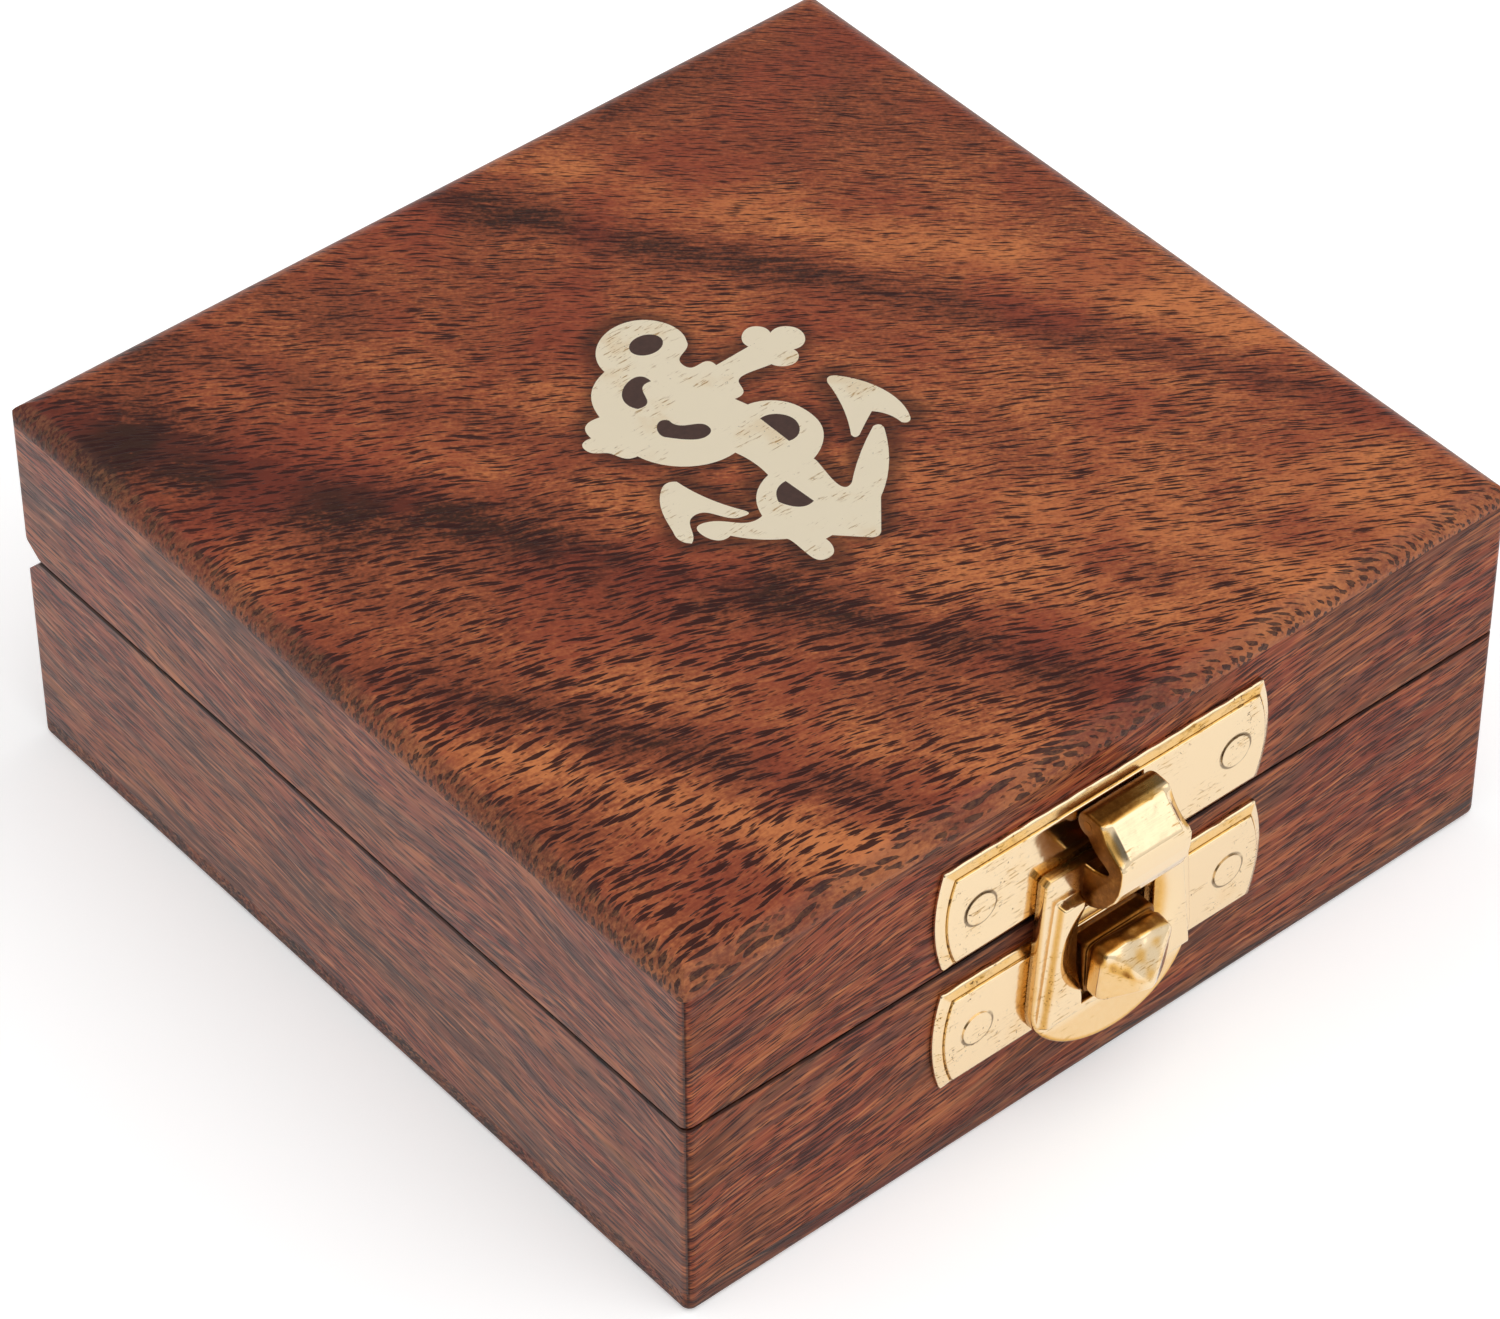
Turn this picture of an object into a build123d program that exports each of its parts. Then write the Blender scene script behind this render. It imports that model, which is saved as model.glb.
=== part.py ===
from build123d import *
import os
from math import atan2, degrees

# A square rosewood box with a hinged lid, a brass anchor inlay and a brass latch.
# Millimetres. X runs along the front, Y towards the back, Z up. The origin is the
# middle of the bottom face.

# Case
box_width = 100.0
box_depth = 100.0
base_height = 24.1
lid_height = 18.9
rim_gap = 0.2
wall = 9.0
bottom_board = 2.4
top_board = 2.7
corner_radius = 1.0
top_roundover = 2.4
foot_roundover = 0.8
base_rim_bevel = 0.15
lid_rim_bevel = 0.25
base_notch_depth = 2.6
base_notch_height = 2.6
lid_notch_depth = 3.0
lid_notch_height = 2.4
felt_thickness = 1.2
felt_clearance = 0.3

# Anchor inlay
anchor_height = 38.7
inlay_depth = 1.2
inlay_x = 0.0
inlay_y = 1.7
ring_hole_width = 3.5
ring_hole_height = 2.8

# Back hinges
hinge_inset = 22.0
leaf_width = 14.0
leaf_thickness = 0.6
leaf_reach = 7.0
axis_inset = 1.8
barrel_radius = 1.3
hinge_pin_radius = 0.6
knuckle_gap = 0.2
middle_knuckle = 5.0
barrel_clearance = 0.2
leaf_clearance = 0.1
running_clearance = 0.05
held_clearance = 0.02
hinge_nail_spacing = 8.0
hinge_nail_setback = 4.6
hinge_nail_head_radius = 1.1
hinge_nail_head = 0.35
hinge_nail_radius = 0.45
hinge_nail_length = 5.0

# Latch plates and their nails. Every height of the latch is measured from the line
# where the lid meets the base.
latch_x = -1.0
plate_width = 38.8
plate_height = 12.2
plate_bow = 1.0
plate_edge = 0.5
plate_bevel_width = 0.9
plate_bevel_rise = 0.4
plate_step = 0.2
upper_plate_z = 7.05
lower_plate_z = -8.4
nail_spacing = 31.2
nail_head_radius = 1.75
nail_head = 0.5
nail_proud = 0.12
nail_radius = 0.6
nail_length = 6.0

# Knob on the lower plate
knob_width = 8.8
knob_height = 6.6
knob_z = -6.95
knob_neck = 2.1
knob_groove = 0.4
knob_groove_depth = 0.35
knob_head = 1.7
knob_point = 2.6
knob_point_drop = 0.8
knob_rounding = 0.6
knob_rivet_radius = 1.2

# Hasp and the pin that it swings on
pin_standoff = 2.6
pin_z = 11.2
latch_pin_radius = 0.5
hasp_knuckle_radius = 1.4
lug_radius = 0.85
lug_width = 3.0
lug_gap = 0.15
arch_width = 8.6
arch_reach = 7.4
arch_facet_back = 1.9
arch_facet_drop = 0.2
# Side view of the strap, in shares of its reach in front of the flange and of the
# height from its foot to the pin
strap_outer_curve = [(0, 0), (0.58, 0.122), (0.96, 0.388), (1.0, 0.673), (0.96, 0.796)]
strap_inner_curve = [(0.32, 0.704), (0.62, 0.612), (0.48, 0.531)]
flange_gap = 0.2
flange_thickness = 1.1
flange_top_z = 6.5
flange_widest_z = -10.0
flange_bottom_z = -17.0
flange_top_width = 17.6
flange_width = 19.8
lip_flare = 0.8
panel_rise = 1.0
panel_top_z = 3.1
panel_foot_z = -12.1
panel_top_width = 15.1
panel_foot_width = 18.6
panel_slope = 25.0
window_width = 9.4
window_bottom_z = -10.8
window_top_z = 0.8
foot_bottom_z = 1.4
foot_top_z = 6.2
dish_radius = 7.8
dish_depth = 0.9
dish_z = -3.8

# Places worked out from the sizes above
half_width = box_width / 2
half_depth = box_depth / 2
lid_foot = base_height + rim_gap
total_height = lid_foot + lid_height
top_board_z = total_height - top_board
hinge_x = half_width - hinge_inset
axis_y = half_depth - axis_inset
axis_z = base_height + rim_gap / 2
inner_width = box_width - 2 * wall
inner_depth = box_depth - 2 * wall
plate_thickness = plate_edge + plate_bevel_rise + plate_step
flange_back = plate_thickness + flange_gap
flange_front = flange_back + flange_thickness
panel_front = flange_front + panel_rise
FRONT, RIGHT, BACK, LEFT = 0, 90, 180, 270


def front_plane(z, out=0.0):
    """Plane on the box's front face, z above the split line, with its normal outwards."""
    origin = (latch_x, -half_depth - out, axis_z + z)
    return Plane(origin=origin, x_dir=(1, 0, 0), z_dir=(0, -1, 0))


def latch_profile_plane(x):
    """Plane across the latch at x: X is the distance out of the front face, Y the height."""
    return Plane(origin=(latch_x + x, -half_depth, axis_z), x_dir=(0, -1, 0), z_dir=(-1, 0, 0))


def back_profile_plane(x):
    """Plane across the back hinges at x, through their axis, with X towards the back."""
    return Plane(origin=(x, axis_y, axis_z), x_dir=(0, 1, 0), z_dir=(1, 0, 0))


def mitred_wall(turn, foot, height):
    """One wall of a mitred frame, with its half of the rounded outer corners.

    It is drawn as the front wall and its plane is turned to the other sides.
    """
    along, across = (half_width, half_depth) if turn in (FRONT, BACK) else (half_depth, half_width)
    with BuildPart() as board:
        with BuildSketch(Plane.XY.offset(foot).rotated((0, 0, turn))):
            with BuildLine():
                round_right = CenterArc(
                    (along - corner_radius, corner_radius - across), corner_radius, -90, 45
                )
                round_left = CenterArc(
                    (corner_radius - along, corner_radius - across), corner_radius, 225, 45
                )
                Line(round_left @ 1, round_right @ 0)
                Polyline(
                    round_right @ 1, (along - wall, wall - across),
                    (wall - along, wall - across), round_left @ 0,
                )
            make_face()
        extrude(amount=height)
    return board.part


def rim_edges(board, turn, z):
    """Outer edges of a wall at the rim height z."""
    out = Vector(0, -1, 0).rotate(Axis.Z, turn)
    face = board.faces().filter_by(Axis.Z).sort_by(lambda f: abs(f.center().Z - z))[0]
    reach = max(edge.center().dot(out) for edge in face.edges())
    return [edge for edge in face.edges() if edge.center().dot(out) > reach - corner_radius]


def back_notch(edge_z, depth, height, direction):
    """Long prism that bevels the back edge at edge_z; direction is -1 down, 1 up."""
    with BuildPart() as prism:
        with BuildSketch(Plane(origin=(0, half_depth, edge_z), x_dir=(0, 1, 0), z_dir=(1, 0, 0))):
            with BuildLine():
                Polyline(
                    (-2 * depth, -height * direction), (depth, 2 * height * direction),
                    (depth, -height * direction), close=True,
                )
            make_face()
        extrude(amount=box_width, both=True)
    return prism.part


def hinge_pockets(leaf_foot):
    """Recesses that let the two hinge leaves and their barrels into a back wall."""
    with BuildPart() as pockets:
        for side in (-1, 1):
            x = side * hinge_x
            pocket_width = leaf_width + 2 * leaf_clearance
            with BuildSketch(Plane.XY.offset(leaf_foot)):
                with Locations((x, axis_y - leaf_reach - leaf_clearance)):
                    Rectangle(pocket_width, leaf_reach + leaf_clearance, align=(Align.CENTER, Align.MIN))
            extrude(amount=leaf_thickness)
            with BuildSketch(back_profile_plane(x)):
                Circle(barrel_radius + barrel_clearance)
            extrude(amount=pocket_width / 2, both=True)
    return pockets.part


def hinge_nail_holes(z, direction):
    """Holes for the hinge nails, going from z into the wood."""
    with BuildPart() as holes:
        with BuildSketch(Plane.XY.offset(z)):
            for side in (-1, 1):
                with Locations((side * hinge_x, axis_y - hinge_nail_setback)):
                    with GridLocations(hinge_nail_spacing, 0, 2, 1):
                        Circle(hinge_nail_radius + held_clearance)
        extrude(amount=direction * (hinge_nail_length + held_clearance))
    return holes.part


def latch_nail_holes(plate_z):
    """Holes for the two latch nails in the front wall."""
    with BuildPart() as holes:
        with BuildSketch(front_plane(plate_z)):
            with GridLocations(nail_spacing, 0, 2, 1):
                Circle(nail_radius + held_clearance)
        extrude(amount=-(nail_length + held_clearance))
    return holes.part


def frame_wall(turn, foot, height, rim_z, rim_bevel, notch, cuts):
    """A finished wall: mitred board, bevelled rim edge, back notch and its own cuts."""
    with BuildPart() as board:
        add(mitred_wall(turn, foot, height))
        chamfer(rim_edges(board.part, turn, rim_z), rim_bevel)
        if turn != FRONT:
            add(notch, mode=Mode.SUBTRACT)
        for cut in cuts:
            add(cut, mode=Mode.SUBTRACT)
    return board.part


# Base: a mitred frame on a bottom board
with BuildPart() as base_bottom_board:
    with BuildSketch():
        RectangleRounded(box_width, box_depth, corner_radius)
    extrude(amount=bottom_board)
    fillet(base_bottom_board.edges().group_by(Axis.Z)[0], foot_roundover)

base_notch = back_notch(base_height, base_notch_depth, base_notch_height, -1)
base_leaf_foot = base_height - leaf_thickness
base_cuts = {
    FRONT: [latch_nail_holes(lower_plate_z)],
    RIGHT: [],
    BACK: [hinge_pockets(base_leaf_foot), hinge_nail_holes(base_leaf_foot, -1)],
    LEFT: [],
}
base_walls = {
    turn: frame_wall(
        turn, bottom_board, base_height - bottom_board, base_height, base_rim_bevel,
        base_notch, cuts,
    )
    for turn, cuts in base_cuts.items()
}

with BuildPart() as base_felt_lining:
    with BuildSketch(Plane.XY.offset(bottom_board)):
        Rectangle(inner_width - 2 * felt_clearance, inner_depth - 2 * felt_clearance)
    extrude(amount=felt_thickness)

# Lid: a mitred frame under a top board
lid_notch = back_notch(lid_foot, lid_notch_depth, lid_notch_height, 1)
lid_leaf_top = lid_foot + leaf_thickness
lid_cuts = {
    FRONT: [latch_nail_holes(upper_plate_z)],
    RIGHT: [],
    BACK: [hinge_pockets(lid_foot), hinge_nail_holes(lid_leaf_top, 1)],
    LEFT: [],
}
lid_walls = {
    turn: frame_wall(
        turn, lid_foot, top_board_z - lid_foot, lid_foot, lid_rim_bevel, lid_notch, cuts
    )
    for turn, cuts in lid_cuts.items()
}

with BuildPart() as lid_felt_lining:
    with BuildSketch(Plane.XY.offset(top_board_z)):
        Rectangle(inner_width - 2 * felt_clearance, inner_depth - 2 * felt_clearance)
    extrude(amount=-felt_thickness)

# Anchor: every outline is a list of stretches that meet in corners. A stretch of two
# points is straight and a longer one is a smooth curve. The ring points to the back.
# All the outlines are drawn to one size and scaled to the anchor's height.
anchor_body_outline = [
    [(4.4, 13.3), (4.8, 15.9), (2.9, 18.7), (-0.4, 19.3), (-3.3, 17.6), (-4.4, 14.9)],
    [(-4.4, 14.9), (-7.0, 13.6), (-8.9, 10.1)],
    [(-8.9, 10.1), (-10.8, 9.9), (-11.4, 8.3)],
    [(-11.4, 8.3), (-12.8, 7.8), (-12.7, 6.7), (-11.5, 5.6), (-10.9, 4.2), (-9.7, 3.5)],
    [(-9.7, 3.5), (-8.4, 0.7), (-5.6, -1.5), (-2.4, -2.0)],
    [(-2.4, -2.0), (-2.0, -4.2), (-2.1, -6.4)],
    [(-2.1, -6.4), (-4.6, -7.7), (-6.2, -10.4)],
    [(-6.2, -10.4), (-8.3, -9.9), (-10.2, -8.0), (-11.8, -7.7), (-12.1, -9.0), (-10.2, -10.6)],
    [(-10.2, -10.6), (-8.3, -12.9), (-6.5, -14.3)],
    [(-6.5, -14.3), (-6.4, -17.0), (-6.0, -18.5), (-4.6, -18.6), (-4.0, -17.9), (-3.8, -16.6)],
    [(-3.8, -16.6), (-3.0, -16.6)],
    [(-3.0, -16.6), (-0.4, -19.2)],
    [(-0.4, -19.2), (0.2, -19.4), (0.8, -19.1)],
    [(0.8, -19.1), (3.9, -15.5)],
    [(3.9, -15.5), (6.6, -13.4), (8.7, -11.1), (10.5, -8.4)],
    [(10.5, -8.4), (10.5, -7.7), (9.9, -7.5)],
    [(9.9, -7.5), (8.5, -8.3), (3.2, -12.2)],
    [(3.2, -12.2), (2.4, -12.4), (2.2, -10.0), (2.6, -7.4)],
    [(2.6, -7.4), (4.9, -6.1), (6.3, -4.2), (6.6, -2.0), (6.0, 0.3), (4.3, 2.0), (2.9, 2.5)],
    [(2.9, 2.5), (2.5, 3.9)],
    [(2.5, 3.9), (4.0, 4.5), (4.4, 5.6), (6.8, 5.8), (8.4, 5.5)],
    [(8.4, 5.5), (9.0, 4.6), (10.2, 4.2), (11.2, 4.8), (11.4, 5.8)],
    [(11.4, 5.8), (13.2, 6.2), (13.7, 7.8), (12.9, 9.0), (11.3, 9.1)],
    [(11.3, 9.1), (11.0, 10.6), (10.3, 11.0), (8.9, 10.5), (8.4, 8.9)],
    [(8.4, 8.9), (4.3, 8.8)],
    [(4.3, 8.8), (3.8, 9.9), (2.2, 10.1), (2.1, 11.6), (3.3, 12.3), (4.4, 13.3)],
]
anchor_hole_outlines = [
    # Curl under the ring, with the shank biting into it
    [
        [(-5.4, 8.7), (-5.7, 10.4), (-4.2, 12.1), (-2.4, 12.3), (-1.9, 11.0)],
        [(-1.9, 11.0), (-3.4, 10.4), (-4.0, 9.0), (-5.4, 8.7)],
    ],
    # Curl between the stock and the rope
    [
        [(-5.9, 3.8), (-5.8, 5.4), (-4.9, 6.0), (-4.2, 5.5)],
        [(-4.2, 5.5), (-3.3, 3.9), (-2.0, 2.9), (-2.1, 1.9), (-3.0, 1.5), (-4.5, 2.2), (-5.9, 3.8)],
    ],
    # Bight of the rope on the right of the shank
    [
        [(2.5, 0.2), (4.0, -0.2), (4.9, -1.9), (4.0, -3.7), (2.5, -4.0)],
        [(2.5, -4.0), (2.5, 0.2)],
    ],
    # Gap between the left arm and the shank
    [
        [(-3.8, -9.9), (-2.2, -8.2), (-1.4, -8.1)],
        [(-1.4, -8.1), (-1.2, -11.9)],
        [(-1.2, -11.9), (-1.7, -12.0), (-3.8, -9.9)],
    ],
]
ring_hole_centre = (1.1, 15.4)
anchor_left_fluke_outline = [
    [(-9.2, -1.6), (-8.5, -5.2), (-7.0, -8.7)],
    [(-7.0, -8.7), (-6.9, -9.3), (-7.6, -9.3)],
    [(-7.6, -9.3), (-9.1, -8.0), (-10.3, -6.4), (-11.4, -6.4), (-12.7, -8.2), (-13.6, -9.1)],
    [(-13.6, -9.1), (-14.0, -8.6), (-13.9, -6.8)],
    [(-13.9, -6.8), (-13.0, -4.2), (-11.4, -1.9), (-10.2, -1.2), (-9.2, -1.6)],
]
anchor_right_fluke_outline = [
    [(10.7, 0.0), (11.3, 0.6), (12.0, 0.3)],
    [(12.0, 0.3), (13.6, -2.4), (14.2, -6.0), (13.4, -8.8)],
    [(13.4, -8.8), (12.8, -9.2), (12.3, -8.8)],
    [(12.3, -8.8), (12.0, -7.0), (11.2, -5.8)],
    [(11.2, -5.8), (9.6, -6.7), (8.1, -7.6)],
    [(8.1, -7.6), (7.6, -7.6), (7.5, -7.1)],
    [(7.5, -7.1), (9.0, -4.6), (10.7, 0.0)],
]


drawn_heights = [y for stretch in anchor_body_outline for x, y in stretch]
anchor_scale = anchor_height / (max(drawn_heights) - min(drawn_heights))


def closed_outline(stretches):
    """Sketch of one closed outline of the anchor, at the anchor's size."""
    with BuildSketch() as outline:
        with BuildLine():
            for stretch in stretches:
                points = [(anchor_scale * x, anchor_scale * y) for x, y in stretch]
                if len(points) == 2:
                    Line(*points)
                else:
                    Spline(*points)
        make_face()
    return outline.sketch


def anchor_holes():
    """Sketch of all the holes in the anchor's body."""
    with BuildSketch() as holes:
        for outline in anchor_hole_outlines:
            add(closed_outline(outline))
        with Locations((anchor_scale * ring_hole_centre[0], anchor_scale * ring_hole_centre[1])):
            Ellipse(ring_hole_width / 2, ring_hole_height / 2)
    return holes.sketch


inlay_plane = Plane(origin=(inlay_x, inlay_y, total_height), x_dir=(1, 0, 0), z_dir=(0, 0, 1))

with BuildPart() as anchor_body:
    with BuildSketch(inlay_plane):
        add(closed_outline(anchor_body_outline))
        add(anchor_holes(), mode=Mode.SUBTRACT)
    extrude(amount=-inlay_depth)

with BuildPart() as anchor_left_fluke:
    with BuildSketch(inlay_plane):
        add(closed_outline(anchor_left_fluke_outline))
    extrude(amount=-inlay_depth)

with BuildPart() as anchor_right_fluke:
    with BuildSketch(inlay_plane):
        add(closed_outline(anchor_right_fluke_outline))
    extrude(amount=-inlay_depth)

# The pocket is cut to the anchor's outside, and dark filler takes up its holes
with BuildPart() as inlay_filler:
    with BuildSketch(inlay_plane):
        add(anchor_holes())
    extrude(amount=-inlay_depth)

with BuildPart() as inlay_pocket:
    with BuildSketch(inlay_plane):
        add(closed_outline(anchor_body_outline))
        add(closed_outline(anchor_left_fluke_outline))
        add(closed_outline(anchor_right_fluke_outline))
    extrude(amount=-inlay_depth)


def rounded_side_section(half_length):
    """Section of the top board: square below and rounded along its two upper edges."""
    with BuildSketch() as section:
        with BuildLine():
            Polyline(
                (-half_length, top_board - top_roundover), (-half_length, 0),
                (half_length, 0), (half_length, top_board - top_roundover),
            )
            right = CenterArc(
                (half_length - top_roundover, top_board - top_roundover), top_roundover, 0, 90
            )
            left = CenterArc(
                (top_roundover - half_length, top_board - top_roundover), top_roundover, 90, 90
            )
            Line(right @ 1, left @ 0)
        make_face()
    return section.sketch


with BuildPart() as lid_top_board:
    with BuildSketch(Plane(origin=(0, 0, top_board_z), x_dir=(1, 0, 0), z_dir=(0, -1, 0))):
        add(rounded_side_section(half_width))
    extrude(amount=half_depth, both=True)
    with BuildSketch(Plane(origin=(0, 0, top_board_z), x_dir=(0, 1, 0), z_dir=(1, 0, 0))):
        add(rounded_side_section(half_depth))
    extrude(amount=half_width, both=True, mode=Mode.INTERSECT)
    with BuildSketch(Plane.XY.offset(top_board_z)):
        RectangleRounded(box_width, box_depth, corner_radius)
    extrude(amount=top_board, mode=Mode.INTERSECT)
    add(inlay_pocket.part, mode=Mode.SUBTRACT)


# Latch plates
def plate_blank(plate_z):
    """Plate with bowed ends: an upright edge, a bevelled border and a raised field."""
    half_length = plate_width / 2
    half_rise = plate_height / 2
    with BuildSketch() as outline:
        with BuildLine():
            Line((-half_length, half_rise), (half_length, half_rise))
            ThreePointArc(
                (half_length, half_rise), (half_length + plate_bow, 0), (half_length, -half_rise)
            )
            Line((half_length, -half_rise), (-half_length, -half_rise))
            ThreePointArc(
                (-half_length, -half_rise), (-half_length - plate_bow, 0), (-half_length, half_rise)
            )
        make_face()
    with BuildSketch() as field:
        add(outline.sketch)
        offset(amount=-plate_bevel_width)
    with BuildPart() as blank:
        with BuildSketch(front_plane(plate_z)):
            add(outline.sketch)
        extrude(amount=plate_edge)
        with BuildSketch(front_plane(plate_z, plate_edge)):
            add(outline.sketch)
        extrude(amount=plate_bevel_rise, taper=degrees(atan2(plate_bevel_width, plate_bevel_rise)))
        with BuildSketch(front_plane(plate_z, plate_edge + plate_bevel_rise)):
            add(field.sketch)
        extrude(amount=plate_step)
        with BuildSketch(front_plane(plate_z, plate_thickness + nail_proud)):
            with GridLocations(nail_spacing, 0, 2, 1):
                Circle(nail_head_radius + held_clearance)
        extrude(amount=-nail_head, mode=Mode.SUBTRACT)
        with BuildSketch(front_plane(plate_z)):
            with GridLocations(nail_spacing, 0, 2, 1):
                Circle(nail_radius + held_clearance)
        extrude(amount=plate_thickness, mode=Mode.SUBTRACT)
    return blank.part


def latch_nails(plate_z):
    """The two nails of a plate, with flat heads that stand a little proud of it."""
    with BuildPart() as nails:
        with BuildSketch(front_plane(plate_z, plate_thickness + nail_proud)):
            with GridLocations(nail_spacing, 0, 2, 1):
                Circle(nail_head_radius)
        extrude(amount=-nail_head)
        with BuildSketch(front_plane(plate_z, plate_thickness)):
            with GridLocations(nail_spacing, 0, 2, 1):
                Circle(nail_radius)
        extrude(amount=-(plate_thickness + nail_length))
    return nails.part


with BuildPart() as latch_lower_plate:
    add(plate_blank(lower_plate_z))
    with BuildSketch(front_plane(knob_z)):
        Circle(knob_rivet_radius + held_clearance)
    extrude(amount=plate_thickness, mode=Mode.SUBTRACT)

with BuildPart() as latch_upper_plate:
    add(plate_blank(upper_plate_z))
    with BuildSketch(latch_profile_plane(lug_width / 2)):
        with BuildLine():
            back = plate_thickness - plate_step
            Polyline(
                (pin_standoff - lug_radius, pin_z - running_clearance), (back, pin_z - running_clearance),
                (back, pin_z - 2 * lug_radius), (pin_standoff, pin_z - lug_radius),
            )
            ThreePointArc(
                (pin_standoff, pin_z - lug_radius), (pin_standoff + lug_radius, pin_z),
                (pin_standoff, pin_z + lug_radius),
            )
            ThreePointArc(
                (pin_standoff, pin_z + lug_radius),
                (pin_standoff - lug_radius * 0.8, pin_z + lug_radius * 0.6),
                (pin_standoff - lug_radius, pin_z - running_clearance),
            )
        make_face()
    extrude(amount=lug_width)
    with BuildSketch(latch_profile_plane(lug_width / 2)):
        with Locations((pin_standoff, pin_z)):
            Circle(latch_pin_radius + held_clearance)
    extrude(amount=lug_width, mode=Mode.SUBTRACT)

with BuildPart() as latch_pin:
    with BuildSketch(latch_profile_plane(arch_width / 2)):
        with Locations((pin_standoff, pin_z)):
            Circle(latch_pin_radius)
    extrude(amount=arch_width)

# Knob: a neck on the plate, a groove, and a square head drawn up to a point
with BuildPart() as latch_knob:
    with BuildSketch(front_plane(knob_z, plate_thickness)):
        RectangleRounded(knob_width, knob_height, knob_rounding)
    extrude(amount=knob_neck)
    neck_front = plate_thickness + knob_neck
    with BuildSketch(front_plane(knob_z, neck_front)):
        RectangleRounded(
            knob_width - 2 * knob_groove_depth, knob_height - 2 * knob_groove_depth, knob_rounding
        )
    extrude(amount=knob_groove)
    head_back = neck_front + knob_groove
    with BuildSketch(front_plane(knob_z, head_back)):
        RectangleRounded(knob_width, knob_height, knob_rounding)
    extrude(amount=knob_head)
    head_front = head_back + knob_head
    with BuildSketch(front_plane(knob_z, head_front)):
        RectangleRounded(knob_width, knob_height, knob_rounding)
    with BuildSketch(front_plane(knob_z - knob_point_drop, head_front + knob_point)):
        RectangleRounded(knob_rounding * 2, knob_rounding * 1.2, knob_rounding * 0.4)
    loft()
    with BuildSketch(front_plane(knob_z)):
        Circle(knob_rivet_radius)
    extrude(amount=plate_thickness)

def strap_point(reach_share, height_share):
    """Point of the strap's side view, on the latch's profile plane."""
    return (
        flange_front + reach_share * (arch_reach - flange_front),
        foot_bottom_z + height_share * (pin_z - foot_bottom_z),
    )


# Hasp: a flange with a window for the knob, and an arched strap up to the pin
with BuildPart() as latch_hasp:
    # Side view of the flange with its flared lip
    with BuildSketch(latch_profile_plane(flange_width / 2)):
        with BuildLine():
            Polyline(
                (flange_back, flange_top_z), (flange_back, panel_foot_z),
                (flange_back + lip_flare, flange_bottom_z),
                (flange_front + lip_flare, flange_bottom_z), (flange_front, panel_foot_z),
                (flange_front, flange_top_z), close=True,
            )
        make_face()
    extrude(amount=flange_width)
    # Front view: it widens downwards and ends in half an ellipse
    with BuildSketch(front_plane(0)):
        with BuildLine():
            Polyline(
                (-flange_width / 2, flange_widest_z), (-flange_top_width / 2, flange_top_z),
                (flange_top_width / 2, flange_top_z), (flange_width / 2, flange_widest_z),
            )
            EllipticalCenterArc(
                (0, flange_widest_z), flange_width / 2, flange_widest_z - flange_bottom_z,
                start_angle=180, arc_size=180,
            )
        make_face()
    extrude(amount=2 * arch_reach, mode=Mode.INTERSECT)
    # Raised panel round the window
    with BuildSketch(front_plane(0, flange_front)):
        with BuildLine():
            Polyline(
                (-panel_top_width / 2, panel_top_z), (panel_top_width / 2, panel_top_z),
                (panel_foot_width / 2, panel_foot_z), (-panel_foot_width / 2, panel_foot_z),
                close=True,
            )
        make_face()
    extrude(amount=panel_rise, taper=panel_slope)
    # Dish sunk in the panel
    with BuildSketch(front_plane(dish_z, panel_front)):
        Circle(dish_radius)
    with BuildSketch(front_plane(dish_z, panel_front - dish_depth)):
        Circle(dish_radius - 3 * dish_depth)
    loft(mode=Mode.SUBTRACT)
    # Window, and the shallow slot above it that takes the foot of the strap
    with BuildSketch(front_plane((window_bottom_z + window_top_z) / 2)):
        Rectangle(window_width, window_top_z - window_bottom_z)
    extrude(amount=2 * arch_reach, mode=Mode.SUBTRACT)
    with BuildSketch(front_plane(window_top_z, flange_front)):
        Rectangle(window_width, 2 * (panel_top_z - window_top_z))
    extrude(amount=arch_reach, mode=Mode.SUBTRACT)
    # Strap: up from its foot on the flange, over the arch and round the pin
    outer_curve = [strap_point(*share) for share in strap_outer_curve]
    inner_curve = [strap_point(*share) for share in strap_inner_curve]
    with BuildSketch(latch_profile_plane(arch_width / 2)):
        with BuildLine():
            Spline(*outer_curve)
            Polyline(
                outer_curve[-1],
                (pin_standoff + arch_facet_back, pin_z + hasp_knuckle_radius - arch_facet_drop),
                (pin_standoff, pin_z + hasp_knuckle_radius),
            )
            ThreePointArc(
                (pin_standoff, pin_z + hasp_knuckle_radius),
                (pin_standoff - hasp_knuckle_radius, pin_z),
                (pin_standoff, pin_z - hasp_knuckle_radius),
            )
            Spline(
                (pin_standoff, pin_z - hasp_knuckle_radius), *inner_curve, (flange_front, foot_top_z)
            )
            Line((flange_front, foot_top_z), (flange_front, foot_bottom_z))
        make_face()
    extrude(amount=arch_width)
    # Bore for the pin, and the slot that clears the plate's lug through the whole swing
    with BuildSketch(latch_profile_plane(arch_width / 2)):
        with Locations((pin_standoff, pin_z)):
            Circle(latch_pin_radius + running_clearance)
    extrude(amount=arch_width, mode=Mode.SUBTRACT)
    with BuildSketch(latch_profile_plane(lug_width / 2 + lug_gap)):
        with Locations((pin_standoff, pin_z)):
            Circle(lug_radius + lug_gap)
            Rectangle(
                2 * hasp_knuckle_radius, 4 * hasp_knuckle_radius, align=(Align.MAX, Align.CENTER)
            )
    extrude(amount=lug_width + 2 * lug_gap, mode=Mode.SUBTRACT)


# Back hinges
def knuckle(x, length, bore):
    """A length of hinge barrel centred at x, bored for the pin."""
    with BuildPart() as tube:
        with BuildSketch(back_profile_plane(x)):
            Circle(barrel_radius)
            Circle(bore, mode=Mode.SUBTRACT)
        extrude(amount=length / 2, both=True)
    return tube.part


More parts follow.
